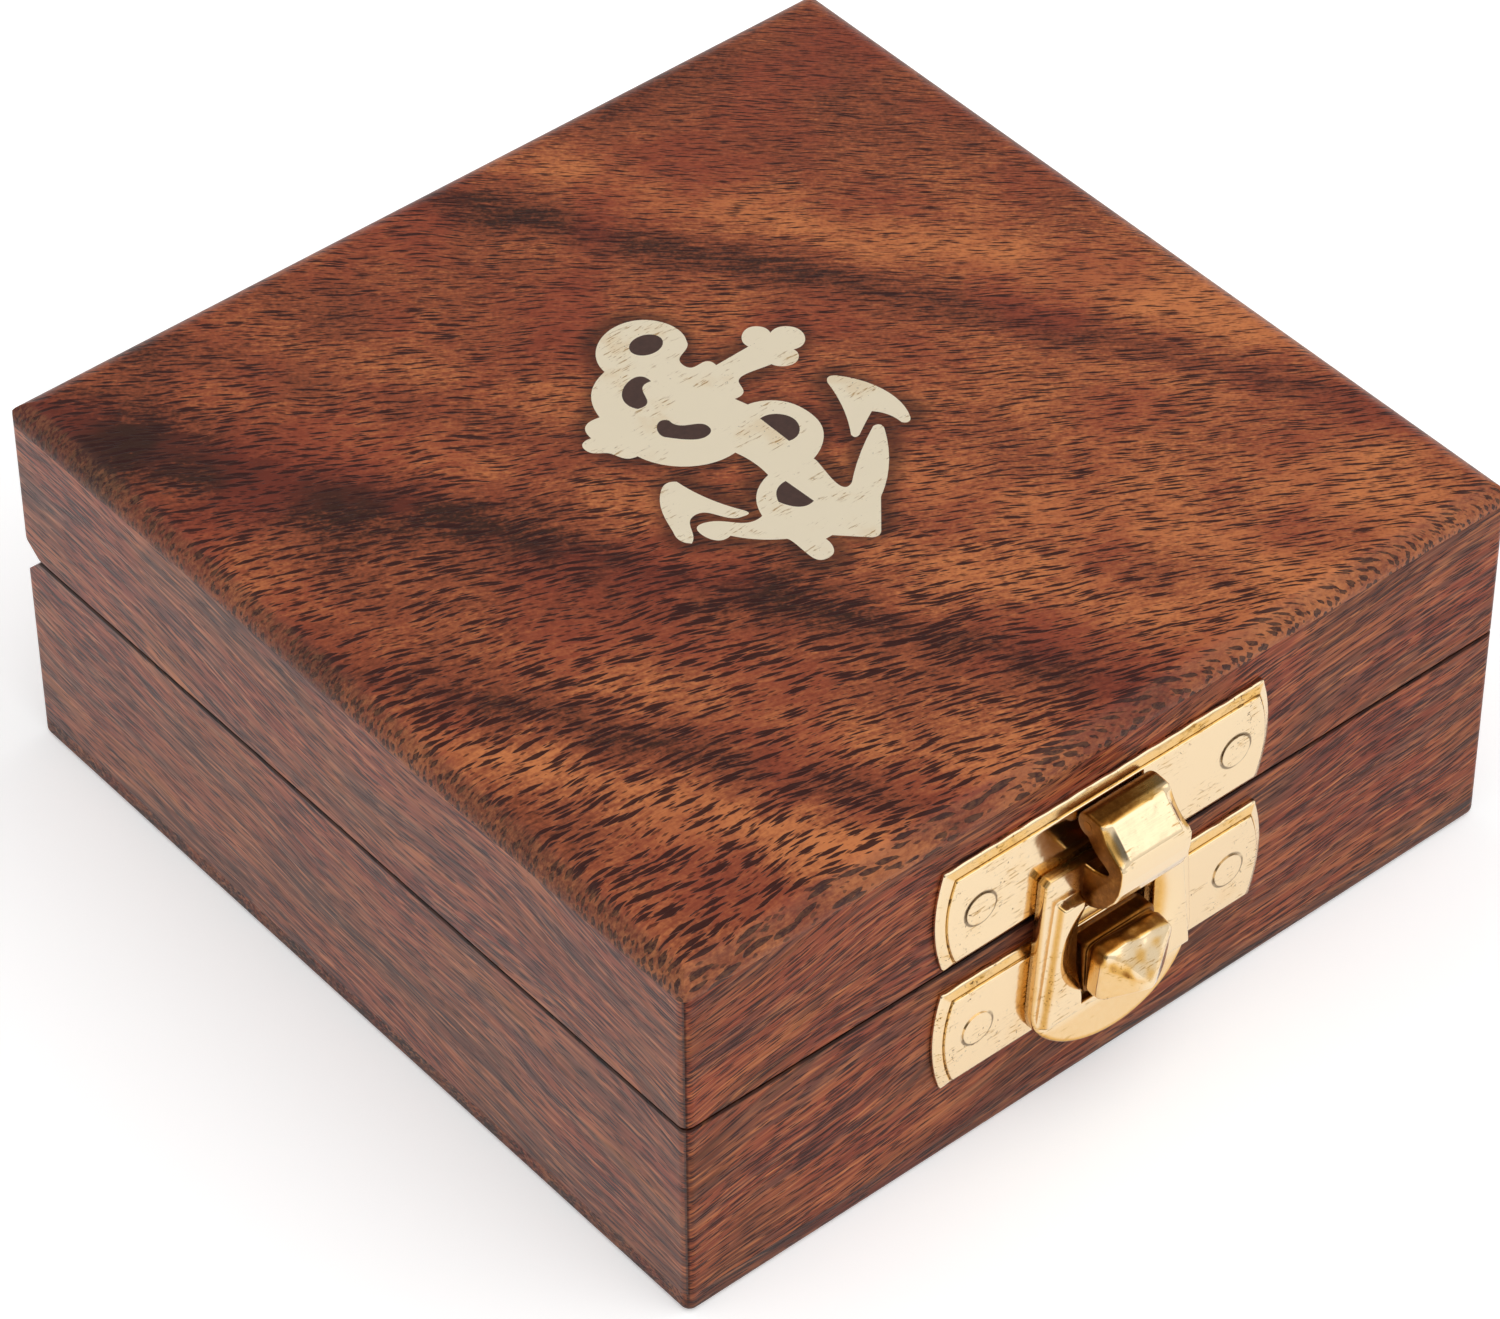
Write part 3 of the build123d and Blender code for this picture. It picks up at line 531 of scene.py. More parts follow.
def top_finish(wood):
    """Figured grain of the top board, with dark bands that cross it towards the right front.

    Along one fibre, y plus 0.62 times x and a little of x squared and of x times y stays the same.
    """
    finish = Finish("rosewood_top_board")
    x, y, z = finish.x, finish.y, finish.z

    # The fibres fan out from the left front corner towards the right and the back
    curl = finish.noise(finish.place, 9, 1.0)
    grain_across = y + x * 0.62 + x * x * 0.0045 + x * y * 0.006 + (curl - 0.5) * 1.8
    grain = finish.point(x - y * 0.35, grain_across, z)
    flames = finish.noise(grain, (8, 1.1, 2), 4.0, 0.62)
    streaks = finish.noise(grain, (4.2, 0.5, 1), 3.0, 0.65)
    fibres = finish.noise(grain, (1.7, 0.30, 0.4), 2.0, 0.7)

    # How far a point lies across the bands, in millimetres, and how light the wood is there
    slow = finish.noise(finish.place, 26, 1.0)
    across = x * ACROSS_BANDS[0] + y * ACROSS_BANDS[1] + (slow - 0.5) * 5 + (flames - 0.5) * 8
    shades = [(place / BAND_SPAN + 0.5, shade) for place, shade in BAND_SHADES]
    tone = finish.ramp(across / BAND_SPAN + 0.5, shades)
    corner = finish.vector("DISTANCE", finish.place, DARK_CORNER)
    patches = finish.noise(finish.place, 11, 2.0)
    tone = tone - (corner + (patches - 0.5) * 14).rise(13, 4) * 0.16 + (patches - 0.5) * 0.6
    # The bands get more contrast, and the wood is lighter towards the right and the front
    tone = (tone - 0.55) * 1.25 + x * 0.0018 - y * 0.0030 + 0.57

    # Pores are long and crowded at the front and in the dark bands, and dots at the back
    ragged = finish.noise(grain, (1.2, 0.4, 0.4), 2.0) - 0.5
    dash_size = (wood.pore_length / MM, wood.pore_width / MM, 1)
    crowd = (0.5 - tone) * 0.10 - y * 0.0016 - x * 0.0006 + (patches - 0.5) * 0.30
    dashes = (finish.lenses(grain, dash_size) - ragged * 0.22 - crowd).rise(0.48, 0.41)
    tick_size = (wood.pore_length * 0.42 / MM, wood.pore_width * 0.75 / MM, 1)
    ticks = (finish.lenses(grain, tick_size) - ragged * 0.2 - y * 0.0008).rise(0.42, 0.35)
    grit = finish.noise(finish.place, 0.42, 1.0)
    clouds = finish.noise(finish.place, 15, 3.0, 0.6)

    shade = tone + (streaks - 0.5) * 0.9 + (fibres - 0.5) * 0.9 + (grit - 0.5) * 0.7
    colour = finish.tinted(
        wood.dark, (shade.rise(-0.15, 0.55), wood.middle), (shade.rise(0.40, 1.15), wood.light),
        (clouds.rise(0.42, 0.66) * 0.5, wood.rose), (ticks * 0.7, wood.pore),
        (dashes * 0.95, wood.pore),
    )

    # The wood is stained dark around the brass
    beyond = None
    for start, end, reach in ANCHOR_LINES:
        line = finish.beyond_line(finish.point(x, y, 0), start, end, reach)
        beyond = line if beyond is None else beyond.least(line)
    stain = (beyond + (flames - 0.5) * 1.6).rise(2.2, 0.0)

    # End grain on the rounded edges
    edge = (abs(x).most(abs(y)) + (streaks - 0.5) * 1.2).rise(HALF_SIDE - 1.8, HALF_SIDE - 1.1)
    mottle = finish.noise(finish.place, (0.8, 0.35, 0.35), 2.0, 0.7).rise(0.36, 0.62)
    rim = finish.tinted(wood.pore, (mottle * (streaks * 1.6), wood.end_grain))
    along_front = (abs(y) - abs(x)).rise(-1, 1)
    colour = finish.tinted(
        colour, (stain * 0.7, wood.dark), (edge * (0.42 - along_front * 0.12), rim)
    )

    relief = fibres * 0.5 + streaks * 0.2 - dashes * 0.6
    return finish.set(
        Base_Color=colour, Roughness=wood.roughness + (fibres - 0.5) * 0.3,
        Normal=finish.relief(relief, 0.10, 0.9), Specular_IOR_Level=0.2,
    )


def brass_finish(name, colour, roughness, brass, wear, metallic=1.0):
    """Polished brass with fine scratches; patina, painted shade and painted reflection where the
    mesh marks them; and specks, scuffs, marks, painted shade round the nails and golden painted
    reflection where wear is high.
    """
    finish = Finish(name)
    clouds = finish.noise(finish.place, 5, 3.0, 0.6)
    mottle = finish.noise(finish.place, 0.7, 3.0, 0.7)
    lines = finish.noise(finish.place, (4, 0.10, 0.16), 2.0, 0.6)
    # The mesh's attribute marks patina in the hollows, painted shade in the slot, beside and inside
    # the strap and round the knob's neck, and painted reflections on faces that look up or sideways
    tarnish_and_painted_light = finish.node("ShaderNodeAttribute", {"attribute_name": "tarnish"}, output="Fac")
    tarnish_and_painted_light = tarnish_and_painted_light.rise(0.0, 1.0) * (mottle * 0.5 + 0.7)

    # Painted shade lies in a broken ring round each nail head, and dark dirt in specks that are
    # more common towards the plates' ends, in scuffs anywhere, and in marks on the plates' borders
    out_x = abs(finish.x - LATCH_X)
    nail_z = abs(finish.z - NAIL_MIDDLE_Z) - NAIL_HALF_Z
    off_nail = finish.vector("LENGTH", finish.point(out_x - NAIL_X, 0, nail_z))
    ring = abs(off_nail - NAIL_RING).rise(0.24, 0.06) * clouds.rise(0.38, 0.52)
    scuffs = finish.noise(finish.place, (1.8, 0.3, 0.28), 2.0, 0.7).rise(0.56, 0.68)
    scuffs = scuffs * clouds.rise(0.48, 0.58)
    # Golden clouds, stronger where wear is high, are a painted reflection that varies over the flat
    # brass
    golden = clouds.rise(0.50, 0.72) * wear * 0.16
    specks = finish.noise(finish.place, 0.45, 2.0, 0.7)
    specks = (specks + out_x.rise(8, 19) * 0.05).rise(0.66, 0.76) * clouds.rise(0.42, 0.62)
    marks = finish.noise(finish.place, (1.2, 0.3, 0.5), 2.0, 0.7).rise(0.54, 0.60)
    on_plate = (finish.y - FRONT_Y).rise(-PLATE_THICK - 0.4, -PLATE_THICK - 0.1)
    marks = marks * tarnish_and_painted_light.rise(0.25, 0.45) * clouds.rise(0.40, 0.52) * on_plate
    dirt_and_shade = (specks + ring * 0.9 + marks + scuffs * 0.4).least(1) * wear
    warm = (tarnish_and_painted_light + scuffs * wear * 0.3 + golden).least(1)
    # Where the marks are strongest, the dark colour deepens them with painted shade and dark
    # painted reflection
    shade = finish.tinted(
        colour, (warm.rise(0.0, 0.50), brass.golden), (warm.rise(0.35, 1.0), brass.tarnish),
        (dirt_and_shade.most(tarnish_and_painted_light.rise(0.7, 1.2) * 0.7), brass.dirt_and_shade),
    )
    uneven = finish.noise(finish.place, 2.4, 2.0)
    dull = dirt_and_shade * 0.3 + tarnish_and_painted_light * 0.24 + (lines - 0.5) * 0.14
    return finish.set(
        Base_Color=shade, Metallic=metallic, Roughness=dull + roughness,
        Normal=finish.relief(uneven * 0.8 + lines * 0.05 + mottle * tarnish_and_painted_light * 0.3, 0.10, 0.5),
    )


def felt_finish(felt):
    """Short woollen felt with a mottled nap."""
    finish = Finish("burgundy_felt")
    fuzz = finish.noise(finish.place, 0.35, 3.0, 0.7)
    clouds = finish.noise(finish.place, 8, 3.0, 0.6)
    shade = finish.tinted(felt.colour, (fuzz.rise(0.3, 0.75) * 0.5 + clouds * 0.3, FELT_SHADOW))
    return finish.set(
        Base_Color=shade, Roughness=0.95, Normal=finish.relief(fuzz, 0.12, 0.8),
        Specular_IOR_Level=0.15, Sheen_Weight=0.4, Sheen_Roughness=0.5, Sheen_Tint=FELT_SHEEN,
    )


def filler_finish(wood):
    """Dark sanded filler in the holes of the anchor."""
    finish = Finish("dark_filler")
    grain = finish.noise(finish.place, 0.5, 3.0, 0.6)
    shade = finish.tinted(wood.filler_dark, (grain, wood.filler_light))
    return finish.set(
        Base_Color=shade, Roughness=0.55, Normal=finish.relief(grain, 0.03, 0.5)
    )


# Pieces


def shown_piece(mesh, body, node, material):
    """Object of a mesh that rides on a body, takes its finish from a slot and replaces a node."""
    piece = bpy.data.objects.new(mesh.name, mesh)
    bpy.context.scene.collection.objects.link(piece)
    mesh.materials.append(material)
    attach(piece, body)
    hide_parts(node)
    return piece


def smooth_rise(value, low, high):
    """0 below low, 1 above high, and 3 squares less 2 cubes of the share of the way between."""
    share = np.clip((value - low) / (high - low), 0, 1)
    return share * share * (3 - 2 * share)


def rounding(distance, radius):
    """How far a rounded edge lies below its face: the radius less the height of its circle."""
    share = np.clip(1 - distance / radius, 0, 1)
    return radius * (1 - np.sqrt(1 - share * share))


def latch_points(x, out, z):
    """Points in metres from x, distance out of the front and height of the latch, in mm."""
    x, out, z = np.broadcast_arrays(x, out, z)
    return np.stack([LATCH_X + x, FRONT_Y - out, SPLIT_Z + z], -1) * MM


def ring_mesh(name, points, tarnish, capped=True):
    """Mesh of rings of points, rows by columns, each joined to the next ring and to itself.

    The ends are closed with one face each, or else the last ring is joined to the first. The
    share of patina, painted shade and painted reflection at every point, from 0 to 1, is kept as an
    attribute.
    """
    rows, columns = points.shape[:2]
    index = np.arange(rows * columns).reshape(rows, columns)
    if not capped:
        index = np.concatenate([index, index[:1]])
    ahead = np.roll(index, -1, axis=1)
    quads = np.stack([index[:-1], ahead[:-1], ahead[1:], index[1:]], -1).reshape(-1, 4)
    faces = quads.tolist()
    if capped:
        faces += [index[0, ::-1].tolist(), index[-1].tolist()]
    mesh = bpy.data.meshes.new(name)
    mesh.from_pydata(points.reshape(-1, 3), [], faces)
    shape = bmesh.new()
    shape.from_mesh(mesh)
    bmesh.ops.recalc_face_normals(shape, faces=shape.faces)
    shape.to_mesh(mesh)
    shape.free()
    mesh.shade_smooth()
    attribute = mesh.attributes.new("tarnish", "FLOAT", "POINT")
    attribute.data.foreach_set("value", np.broadcast_to(tarnish, (rows, columns)).ravel())
    return mesh


def plate_mesh(name, low, high):
    """Latch plate: rings that follow its bowed outline inwards, over its edge, bevel and step.

    A ring at distance d from the edge has sides at the half height less d, and ends that bow
    out by PLATE_BOW times 1 - (z / half height) squared. The rings' heights are the profile.
    """
    half_height = (high.z - low.z) / 2 / MM
    half_length = (high.x - low.x) / 2 / MM - PLATE_BOW
    middle_z = (high.z + low.z) / 2 / MM - SPLIT_Z
    profile = np.array([
        (0.00, 0.00), (0.00, 0.30), (0.03, 0.42), (0.10, 0.49), (0.20, 0.54), (0.80, 0.80),
        (0.88, 0.82), (0.93, 0.80), (0.97, 0.80), (1.00, 0.98), (1.04, 1.06), (1.12, 1.095),
        (1.22, PLATE_THICK), (1.45, PLATE_THICK), (1.80, PLATE_THICK),
    ])
    inset, out = profile[:, 0, None], profile[:, 1, None]
    side = np.linspace(-1, 1, PLATE_SIDE_STEPS)
    end = np.linspace(1, -1, PLATE_END_STEPS)
    # Around the outline: along the top, down the right end, back along the foot, up the left end
    turn = np.concatenate([0 * side, end[1:-1] * 0 + 1, 0 * side + 2, end[1:-1] * 0 + 3])
    share = np.concatenate([side, end[1:-1], -side, -end[1:-1]])
    along = np.select([turn == 0, turn == 1, turn == 2], [share, 1, share], -1.0)
    up = np.select([turn == 0, turn == 1, turn == 2], [1, share, -1], share)
    z = up * (half_height - inset)
    reach = half_length + PLATE_BOW * (1 - up ** 2) - inset
    # The outer edge wavers by a few hundredths of a millimetre, as a cast one does
    waver = 0.04 * np.sin(along * 31 + up * 3) * np.sin(along * 13 + 1) * (inset < 0.1)
    x = along * reach
    # A thin line of tarnish follows the step, and the bevelled border carries a painted golden
    # reflection, most on the top, which faces up
    line = np.exp(-((inset - 0.93) / 0.07) ** 2) + 0 * x
    border_reflection = (0.16 + 0.22 * (up == 1)) * (inset > 0.15) * (inset < 0.9)
    return ring_mesh(name, latch_points(x, out, z + middle_z + waver), np.maximum(line, border_reflection))


def knob_mesh(name):
    """Knob: a neck, a groove and a head drawn to a point, as superellipses along its axis.

    Each ring has half sizes, a squareness, a shift and a turn; a point at angle t lies at
    the radius (|cos t / a|^n + |sin t / b|^n)^(-1/n). The head stands a little turned.
    """
    # Distance out, half width, half height, squareness, shift in x and z, turn in degrees
    rings = np.array([
        (1.10, 4.38, 3.30, 9, 0, 0, 0), (2.90, 4.38, 3.30, 9, 0, 0, 0),
        (3.08, 4.30, 3.22, 9, 0, 0, 0), (3.12, 4.05, 2.95, 9, 0, 0, 0),
        (3.50, 4.05, 2.95, 9, 0, 0, 2), (3.55, 4.25, 3.15, 7, 0, 0, 6),
        (3.70, 4.38, 3.26, 6, 0, 0, 7), (4.40, 4.42, 3.26, 5.5, 0, 0, 8),
        (5.05, 4.36, 3.22, 5.5, 0, -0.02, 9), (5.30, 4.22, 3.12, 6.0, 0, -0.05, 10),
        (5.50, 3.92, 2.90, 8.0, -0.02, -0.10, 10), (6.20, 2.86, 2.14, 9.0, -0.07, -0.36, 10),
        (6.80, 1.94, 1.46, 9.0, -0.12, -0.60, 10), (7.30, 1.16, 0.88, 7.0, -0.16, -0.82, 10),
        (7.60, 0.66, 0.52, 3.0, -0.19, -0.96, 10), (7.76, 0.36, 0.30, 2.2, -0.20, -1.02, 10),
        (7.82, 0.14, 0.12, 2.0, -0.20, -1.04, 10),
    ])
    # The rings are joined by smaller steps
    steps = np.linspace(0, len(rings) - 1, (len(rings) - 1) * KNOB_RING_STEPS + 1)
    out, a, b, n, shift_x, shift_z, turn = (
        np.interp(steps, np.arange(len(rings)), column)[:, None] for column in rings.T
    )
    angle = np.linspace(0, 2 * np.pi, KNOB_TURN_STEPS, endpoint=False)[None, :]
    radius = (np.abs(np.cos(angle) / a) ** n + np.abs(np.sin(angle) / b) ** n) ** (-1 / n)
    x, z = radius * np.cos(angle), radius * np.sin(angle)
    turn = -np.radians(turn)
    x, z = x * np.cos(turn) - z * np.sin(turn), x * np.sin(turn) + z * np.cos(turn)
    # The top of the head slopes down to its front, where it is worn to a wavy ridge
    worn = smooth_rise(out, 3.9, 5.2) * (1 - smooth_rise(out, 5.3, 6.2)) * smooth_rise(z, 1.0, 3.0)
    z = z - worn * (0.22 + 0.10 * np.sin(x * 2.1 + 0.8))
    # Painted reflections lie on the top, which faces up, and at the left, painted shade and
    # reflection round the neck and its groove, and tarnish in blotches on the top and the upper
    # facet
    blotch = 0.5 + 0.5 * np.sin(x * 1.9 + out * 2.3) * np.sin(out * 3.1 - x * 0.9 + 1.0)
    top = smooth_rise(z, 1.4, 2.8) * (1 - smooth_rise(out, 4.8, 5.5)) * (0.75 + 0.4 * blotch)
    facet = smooth_rise(z - 0.55 * (7.8 - out), 0.0, 0.5) * smooth_rise(out, 5.4, 5.8)
    neck = 1 - smooth_rise(out, 3.4, 3.9)
    left = smooth_rise(-x, -0.4, 1.6) * (1 - smooth_rise(z + x * 0.7, -0.4, 0.6)) * 0.35
    tarnish = np.clip(top + neck + left + facet * blotch * 0.45, 0, 1)
    return ring_mesh(name, latch_points(x + shift_x, out, z + shift_z + KNOB_Z), tarnish)


def flange_outline():
    """Outside of the hasp's flange: it widens downwards and ends in half an ellipse.

    Its right shoulder slopes down behind the strap.
    """
    angle = np.radians(np.linspace(0, -180, 90))
    foot = np.stack([
        FLANGE_HALF * np.cos(angle),
        FLANGE_WIDEST_Z + (FLANGE_WIDEST_Z - FLANGE_BOTTOM_Z) * np.sin(angle),
    ], -1)
    corner = 0.5
    top = np.array([
        (-FLANGE_TOP_HALF - 0.03, FLANGE_TOP_Z - corner), (-FLANGE_TOP_HALF + corner, FLANGE_TOP_Z),
        (STRAP_HALF, FLANGE_TOP_Z), (FLANGE_TOP_HALF + 0.15, FLANGE_TOP_Z - 4.0),
    ])
    return np.concatenate([foot, top])


def distance_along(outline, angles):
    """Distance from the window's middle to a closed outline in the direction of each angle."""
    points = np.concatenate([outline, outline[:1]])
    share = np.linspace(0, 1, 60, endpoint=False)[None, :, None]
    fine = (points[:-1, None] * (1 - share) + points[1:, None] * share).reshape(-1, 2)
    fine = fine - (0, (WINDOW_FOOT_Z + WINDOW_TOP_Z) / 2)
    found = np.arctan2(fine[:, 1], fine[:, 0])
    order = np.argsort(found)
    return np.interp(angles, found[order], np.hypot(*fine[order].T), period=2 * np.pi)


def flange_front(x, z, from_rim, from_window):
    """How far the flange's front stands out, at x and z, and its share of patina, painted shade and
    painted reflection.

    It is flat down to the panel's foot and flares out below it. A panel with sloped sides
    stands on it, with a round dish sunk in the panel and a slot for the strap above the
    window. Both rims are rounded.
    """
    flare = LIP_FLARE * np.clip((PANEL_FOOT_Z - z) / (PANEL_FOOT_Z - FLANGE_BOTTOM_Z), 0, 1) ** 1.2
    lean = (PANEL_FOOT_HALF - PANEL_TOP_HALF) / (PANEL_TOP_Z - PANEL_FOOT_Z)
    from_side = PANEL_FOOT_HALF - lean * (z - PANEL_FOOT_Z) - np.abs(x)
    inside = np.minimum(np.minimum(from_side, PANEL_TOP_Z - z), (z - PANEL_FOOT_Z) * 0.8)
    panel = smooth_rise(inside, -0.08, PANEL_SLOPE + 0.08)
    slot = smooth_rise(z, WINDOW_TOP_Z - 0.4, WINDOW_TOP_Z) * (
        1 - smooth_rise(np.abs(x), WINDOW_HALF - 0.15, WINDOW_HALF + 0.05)
    )
    dish = 1 - smooth_rise(np.hypot(x, z - DISH_Z), DISH_RADIUS - 3 * DISH_DEPTH, DISH_RADIUS)
    raised = PANEL_RISE * panel * (1 - slot) - DISH_DEPTH * dish * panel * (1 - slot)
    out = FLANGE_FRONT + flare + raised - rounding(from_rim, 0.35) - rounding(from_window, 0.2)
    # Tarnish, painted shade and painted reflection lie in the dish near the window, more on its
    # left;
    # painted shade lies in the slot and beside the strap, and golden painted reflections on the
    # rim, the lip and the panel's slopes
    hollow = dish * panel * (1 - smooth_rise(from_window, 0.8, 3.6)) * (0.75 - 0.04 * x)
    beside = smooth_rise(z, 1.0, 4.0) * (1 - smooth_rise(np.abs(x), STRAP_HALF, STRAP_HALF + 2.2))
    rim = 0.4 * (1 - smooth_rise(from_rim, 0.0, 0.6))
    lip = 0.3 * smooth_rise(PANEL_FOOT_Z - z, 0.1, 1.5)
    slope = 2 * panel * (1 - panel)
    return out, np.clip(hollow + slot * 0.6 + beside * 0.9 + rim + lip + slope, 0, 1)


def flange_mesh(name):
    """Flange of the hasp: a ring round the window, from the window's edge to the outline.

    A ray at each angle about the window's middle runs from the window to the outline over
    the front and comes back over the flat back. The front stands out as flange_front says.
    """
    window = np.array([
        (WINDOW_HALF, WINDOW_TOP_Z), (-WINDOW_HALF, WINDOW_TOP_Z),
        (-WINDOW_HALF, WINDOW_FOOT_Z), (WINDOW_HALF, WINDOW_FOOT_Z),
    ])
    outline = flange_outline()
    middle_z = (WINDOW_FOOT_Z + WINDOW_TOP_Z) / 2
    corners = np.concatenate([window, outline[-4:]]) - (0, middle_z)
    angles = np.sort(np.concatenate([
        np.linspace(-np.pi, np.pi, FLANGE_RAYS, endpoint=False),
        np.arctan2(corners[:, 1], corners[:, 0]),
    ]))
    inner = distance_along(window, angles)[:, None]
    outer = distance_along(outline, angles)[:, None]
    length = outer - inner
    # Places along a ray are close together at both rims, and the back has three of them
    near = np.array([0.0, 0.03, 0.08, 0.14, 0.2])
    far = np.array([0.36, 0.28, 0.2, 0.12, 0.06, 0.02, 0.0])
    middle = np.linspace(0, 1, FLANGE_RAY_STEPS)
    ahead = np.concatenate([
        near * np.ones_like(length), near[-1] + (length - near[-1] - far[0]) * middle[1:-1],
        length - far,
    ], axis=1)
    radius = inner + ahead
    x, z = radius * np.cos(angles[:, None]), radius * np.sin(angles[:, None]) + middle_z
    front, tarnish = flange_front(x, z, length - ahead, ahead)
    back = FLANGE_BACK + LIP_FLARE * np.clip(
        (PANEL_FOOT_Z - z) / (PANEL_FOOT_Z - FLANGE_BOTTOM_Z), 0, 1
    )
    picks = np.array([x.shape[1] - 1, x.shape[1] // 2, 0])
    x, z = (np.concatenate([grid, grid[:, picks]], axis=1) for grid in (x, z))
    out = np.concatenate([front, back[:, picks]], axis=1)
    tarnish = np.concatenate([tarnish, 0.5 + 0 * tarnish[:, picks]], axis=1)
    return ring_mesh(name, latch_points(x, out, z), tarnish, capped=False)


def strap_outline():
    """Side view of the strap as a closed curve of distance out and height.

    It goes up the outside from the foot to the square facet, over the pin, and back down
    the hollow inside to the foot.
    """
    turn = np.radians(np.linspace(80, 270, 24))
    knuckle = np.stack([
        PIN_OUT + KNUCKLE_RADIUS * np.cos(turn), PIN_Z + KNUCKLE_RADIUS * np.sin(turn),
    ], -1)
    outside = np.array([
        (2.0, 1.3), (3.3, 1.38), (4.5, 1.95), (5.6, 2.95), (6.5, 4.2), (7.1, 5.6), (7.38, 7.1),
        (7.45, 8.4), (7.40, 9.2),
    ])
    facet = np.array([(7.25, 9.55), (4.75, 12.2), (4.45, 12.36), (3.8, 12.5)])
    inside = np.array([
        (3.2, 9.0), (4.0, 8.3), (5.0, 7.75), (5.5, 7.4), (5.3, 6.9), (4.8, 6.6), (3.6, 6.3),
        (2.0, 6.2),
    ])
    return np.concatenate([outside, facet, knuckle, inside])


def strap_mesh(name):
    """Strap of the hasp: its side view carried across its width.

    At each place across, the side view is drawn in along its normals: by the rounding of the
    long edges, and beside the square facet by a concave scoop that fades at the facet's ends.
    """
    outline = strap_outline()
    corners = np.concatenate([outline, outline[:1]])
    spans = np.hypot(*np.diff(corners, axis=0).T)
    travelled = np.concatenate([[0], np.cumsum(spans)])
    steps = np.linspace(0, travelled[-1], STRAP_STEPS, endpoint=False)
    curve = np.stack([np.interp(steps, travelled, column) for column in corners.T], -1)
    # Three passes of a running average round the curve's corners
    for _ in range(3):
        curve = (np.roll(curve, 1, 0) + 2 * curve + np.roll(curve, -1, 0)) / 4
    ahead = np.roll(curve, -1, 0) - np.roll(curve, 1, 0)
    normal = np.stack([ahead[:, 1], -ahead[:, 0]], -1) / np.hypot(*ahead.T)[:, None]
    # The scoops run from the outside's last point to the facet's third
    facet_start, facet_end = travelled[8] - 0.5, travelled[11] + 0.3
    share = np.clip((steps - facet_start) / (facet_end - facet_start), 0, 1)
    scoop = np.sin(np.pi * share) ** 0.8
    across = np.concatenate([
        [0, 0.02, 0.06, 0.12, 0.2, 0.3, 0.42, 0.56, 0.7, 0.84, 0.95, 1.02, 1.08, 1.14, 1.22, 1.4],
        np.linspace(1.8, STRAP_HALF, 5),
    ]) - STRAP_HALF
    across = np.concatenate([across, -across[-2::-1]])[:, None]
    from_edge = STRAP_HALF - np.abs(across)
    hollow = (1 - smooth_rise(from_edge, 0.0, STRAP_HALF - FACET_HALF)) ** 0.6 * 0.75
    drawn_in = rounding(from_edge, 0.3) + scoop[None, :] * hollow
    out = curve[None, :, 0] - normal[None, :, 0] * drawn_in
    z = curve[None, :, 1] - normal[None, :, 1] * drawn_in
    x = across + 0 * out
    # Painted shade lies inside the arch and on the foot's lower face, and painted reflections on
    # the cheeks, on the crown, which faces up, and in the scoops
    facing = normal[None, :, 0] * 0.75 - normal[None, :, 1] * 0.65
    inner = smooth_rise(-normal[None, :, 0] + 0 * x, -0.2, 0.3) * smooth_rise(z, 5.0, 7.0)
    low = smooth_rise(facing, 0.7, 1.0) * (1 - smooth_rise(z, 1.8, 3.4)) * 0.4
    cheek = (1 - smooth_rise(from_edge, 0.0, 0.10)) * 0.85
    crown = smooth_rise(z, 12.15, 12.45) * (0.70 - 0.12 * x)
    sunk = smooth_rise(scoop[None, :] * hollow, 0.08, 0.5) * 0.5
    tarnish = np.clip(inner + low + cheek + crown + sunk, 0, 1)
    return ring_mesh(name, latch_points(x, out, z), tarnish)


def lug_mesh(name):
    """Lug of the upper plate: a rounded tongue from the plate to the pin, as wide as its slot.

    Its side view is half a circle round the pin, joined to the plate by two straight sides.
    """
    # The tongue starts a little inside the plate, and its edges are bevelled
    root = PLATE_THICK - 0.1
    bevel = 0.03
    turn = np.radians(np.linspace(-90, 90, 16))
    out = np.concatenate([[root], PIN_OUT + LUG_RADIUS * np.cos(turn), [root]])
    z = np.concatenate([
        [PIN_Z - LUG_RADIUS - 0.5], PIN_Z + LUG_RADIUS * np.sin(turn), [PIN_Z + 0.1],
    ])
    across = np.array([-LUG_HALF, bevel - LUG_HALF, LUG_HALF - bevel, LUG_HALF])[:, None]
    drawn_in = np.array([bevel, 0, 0, bevel])[:, None]
    shrink = 1 - drawn_in / LUG_RADIUS
    out = PIN_OUT + (out - PIN_OUT)[None, :] * shrink
    z = PIN_Z + (z - PIN_Z)[None, :] * shrink
    return ring_mesh(name, latch_points(across + 0 * out, out, z), 0.3)


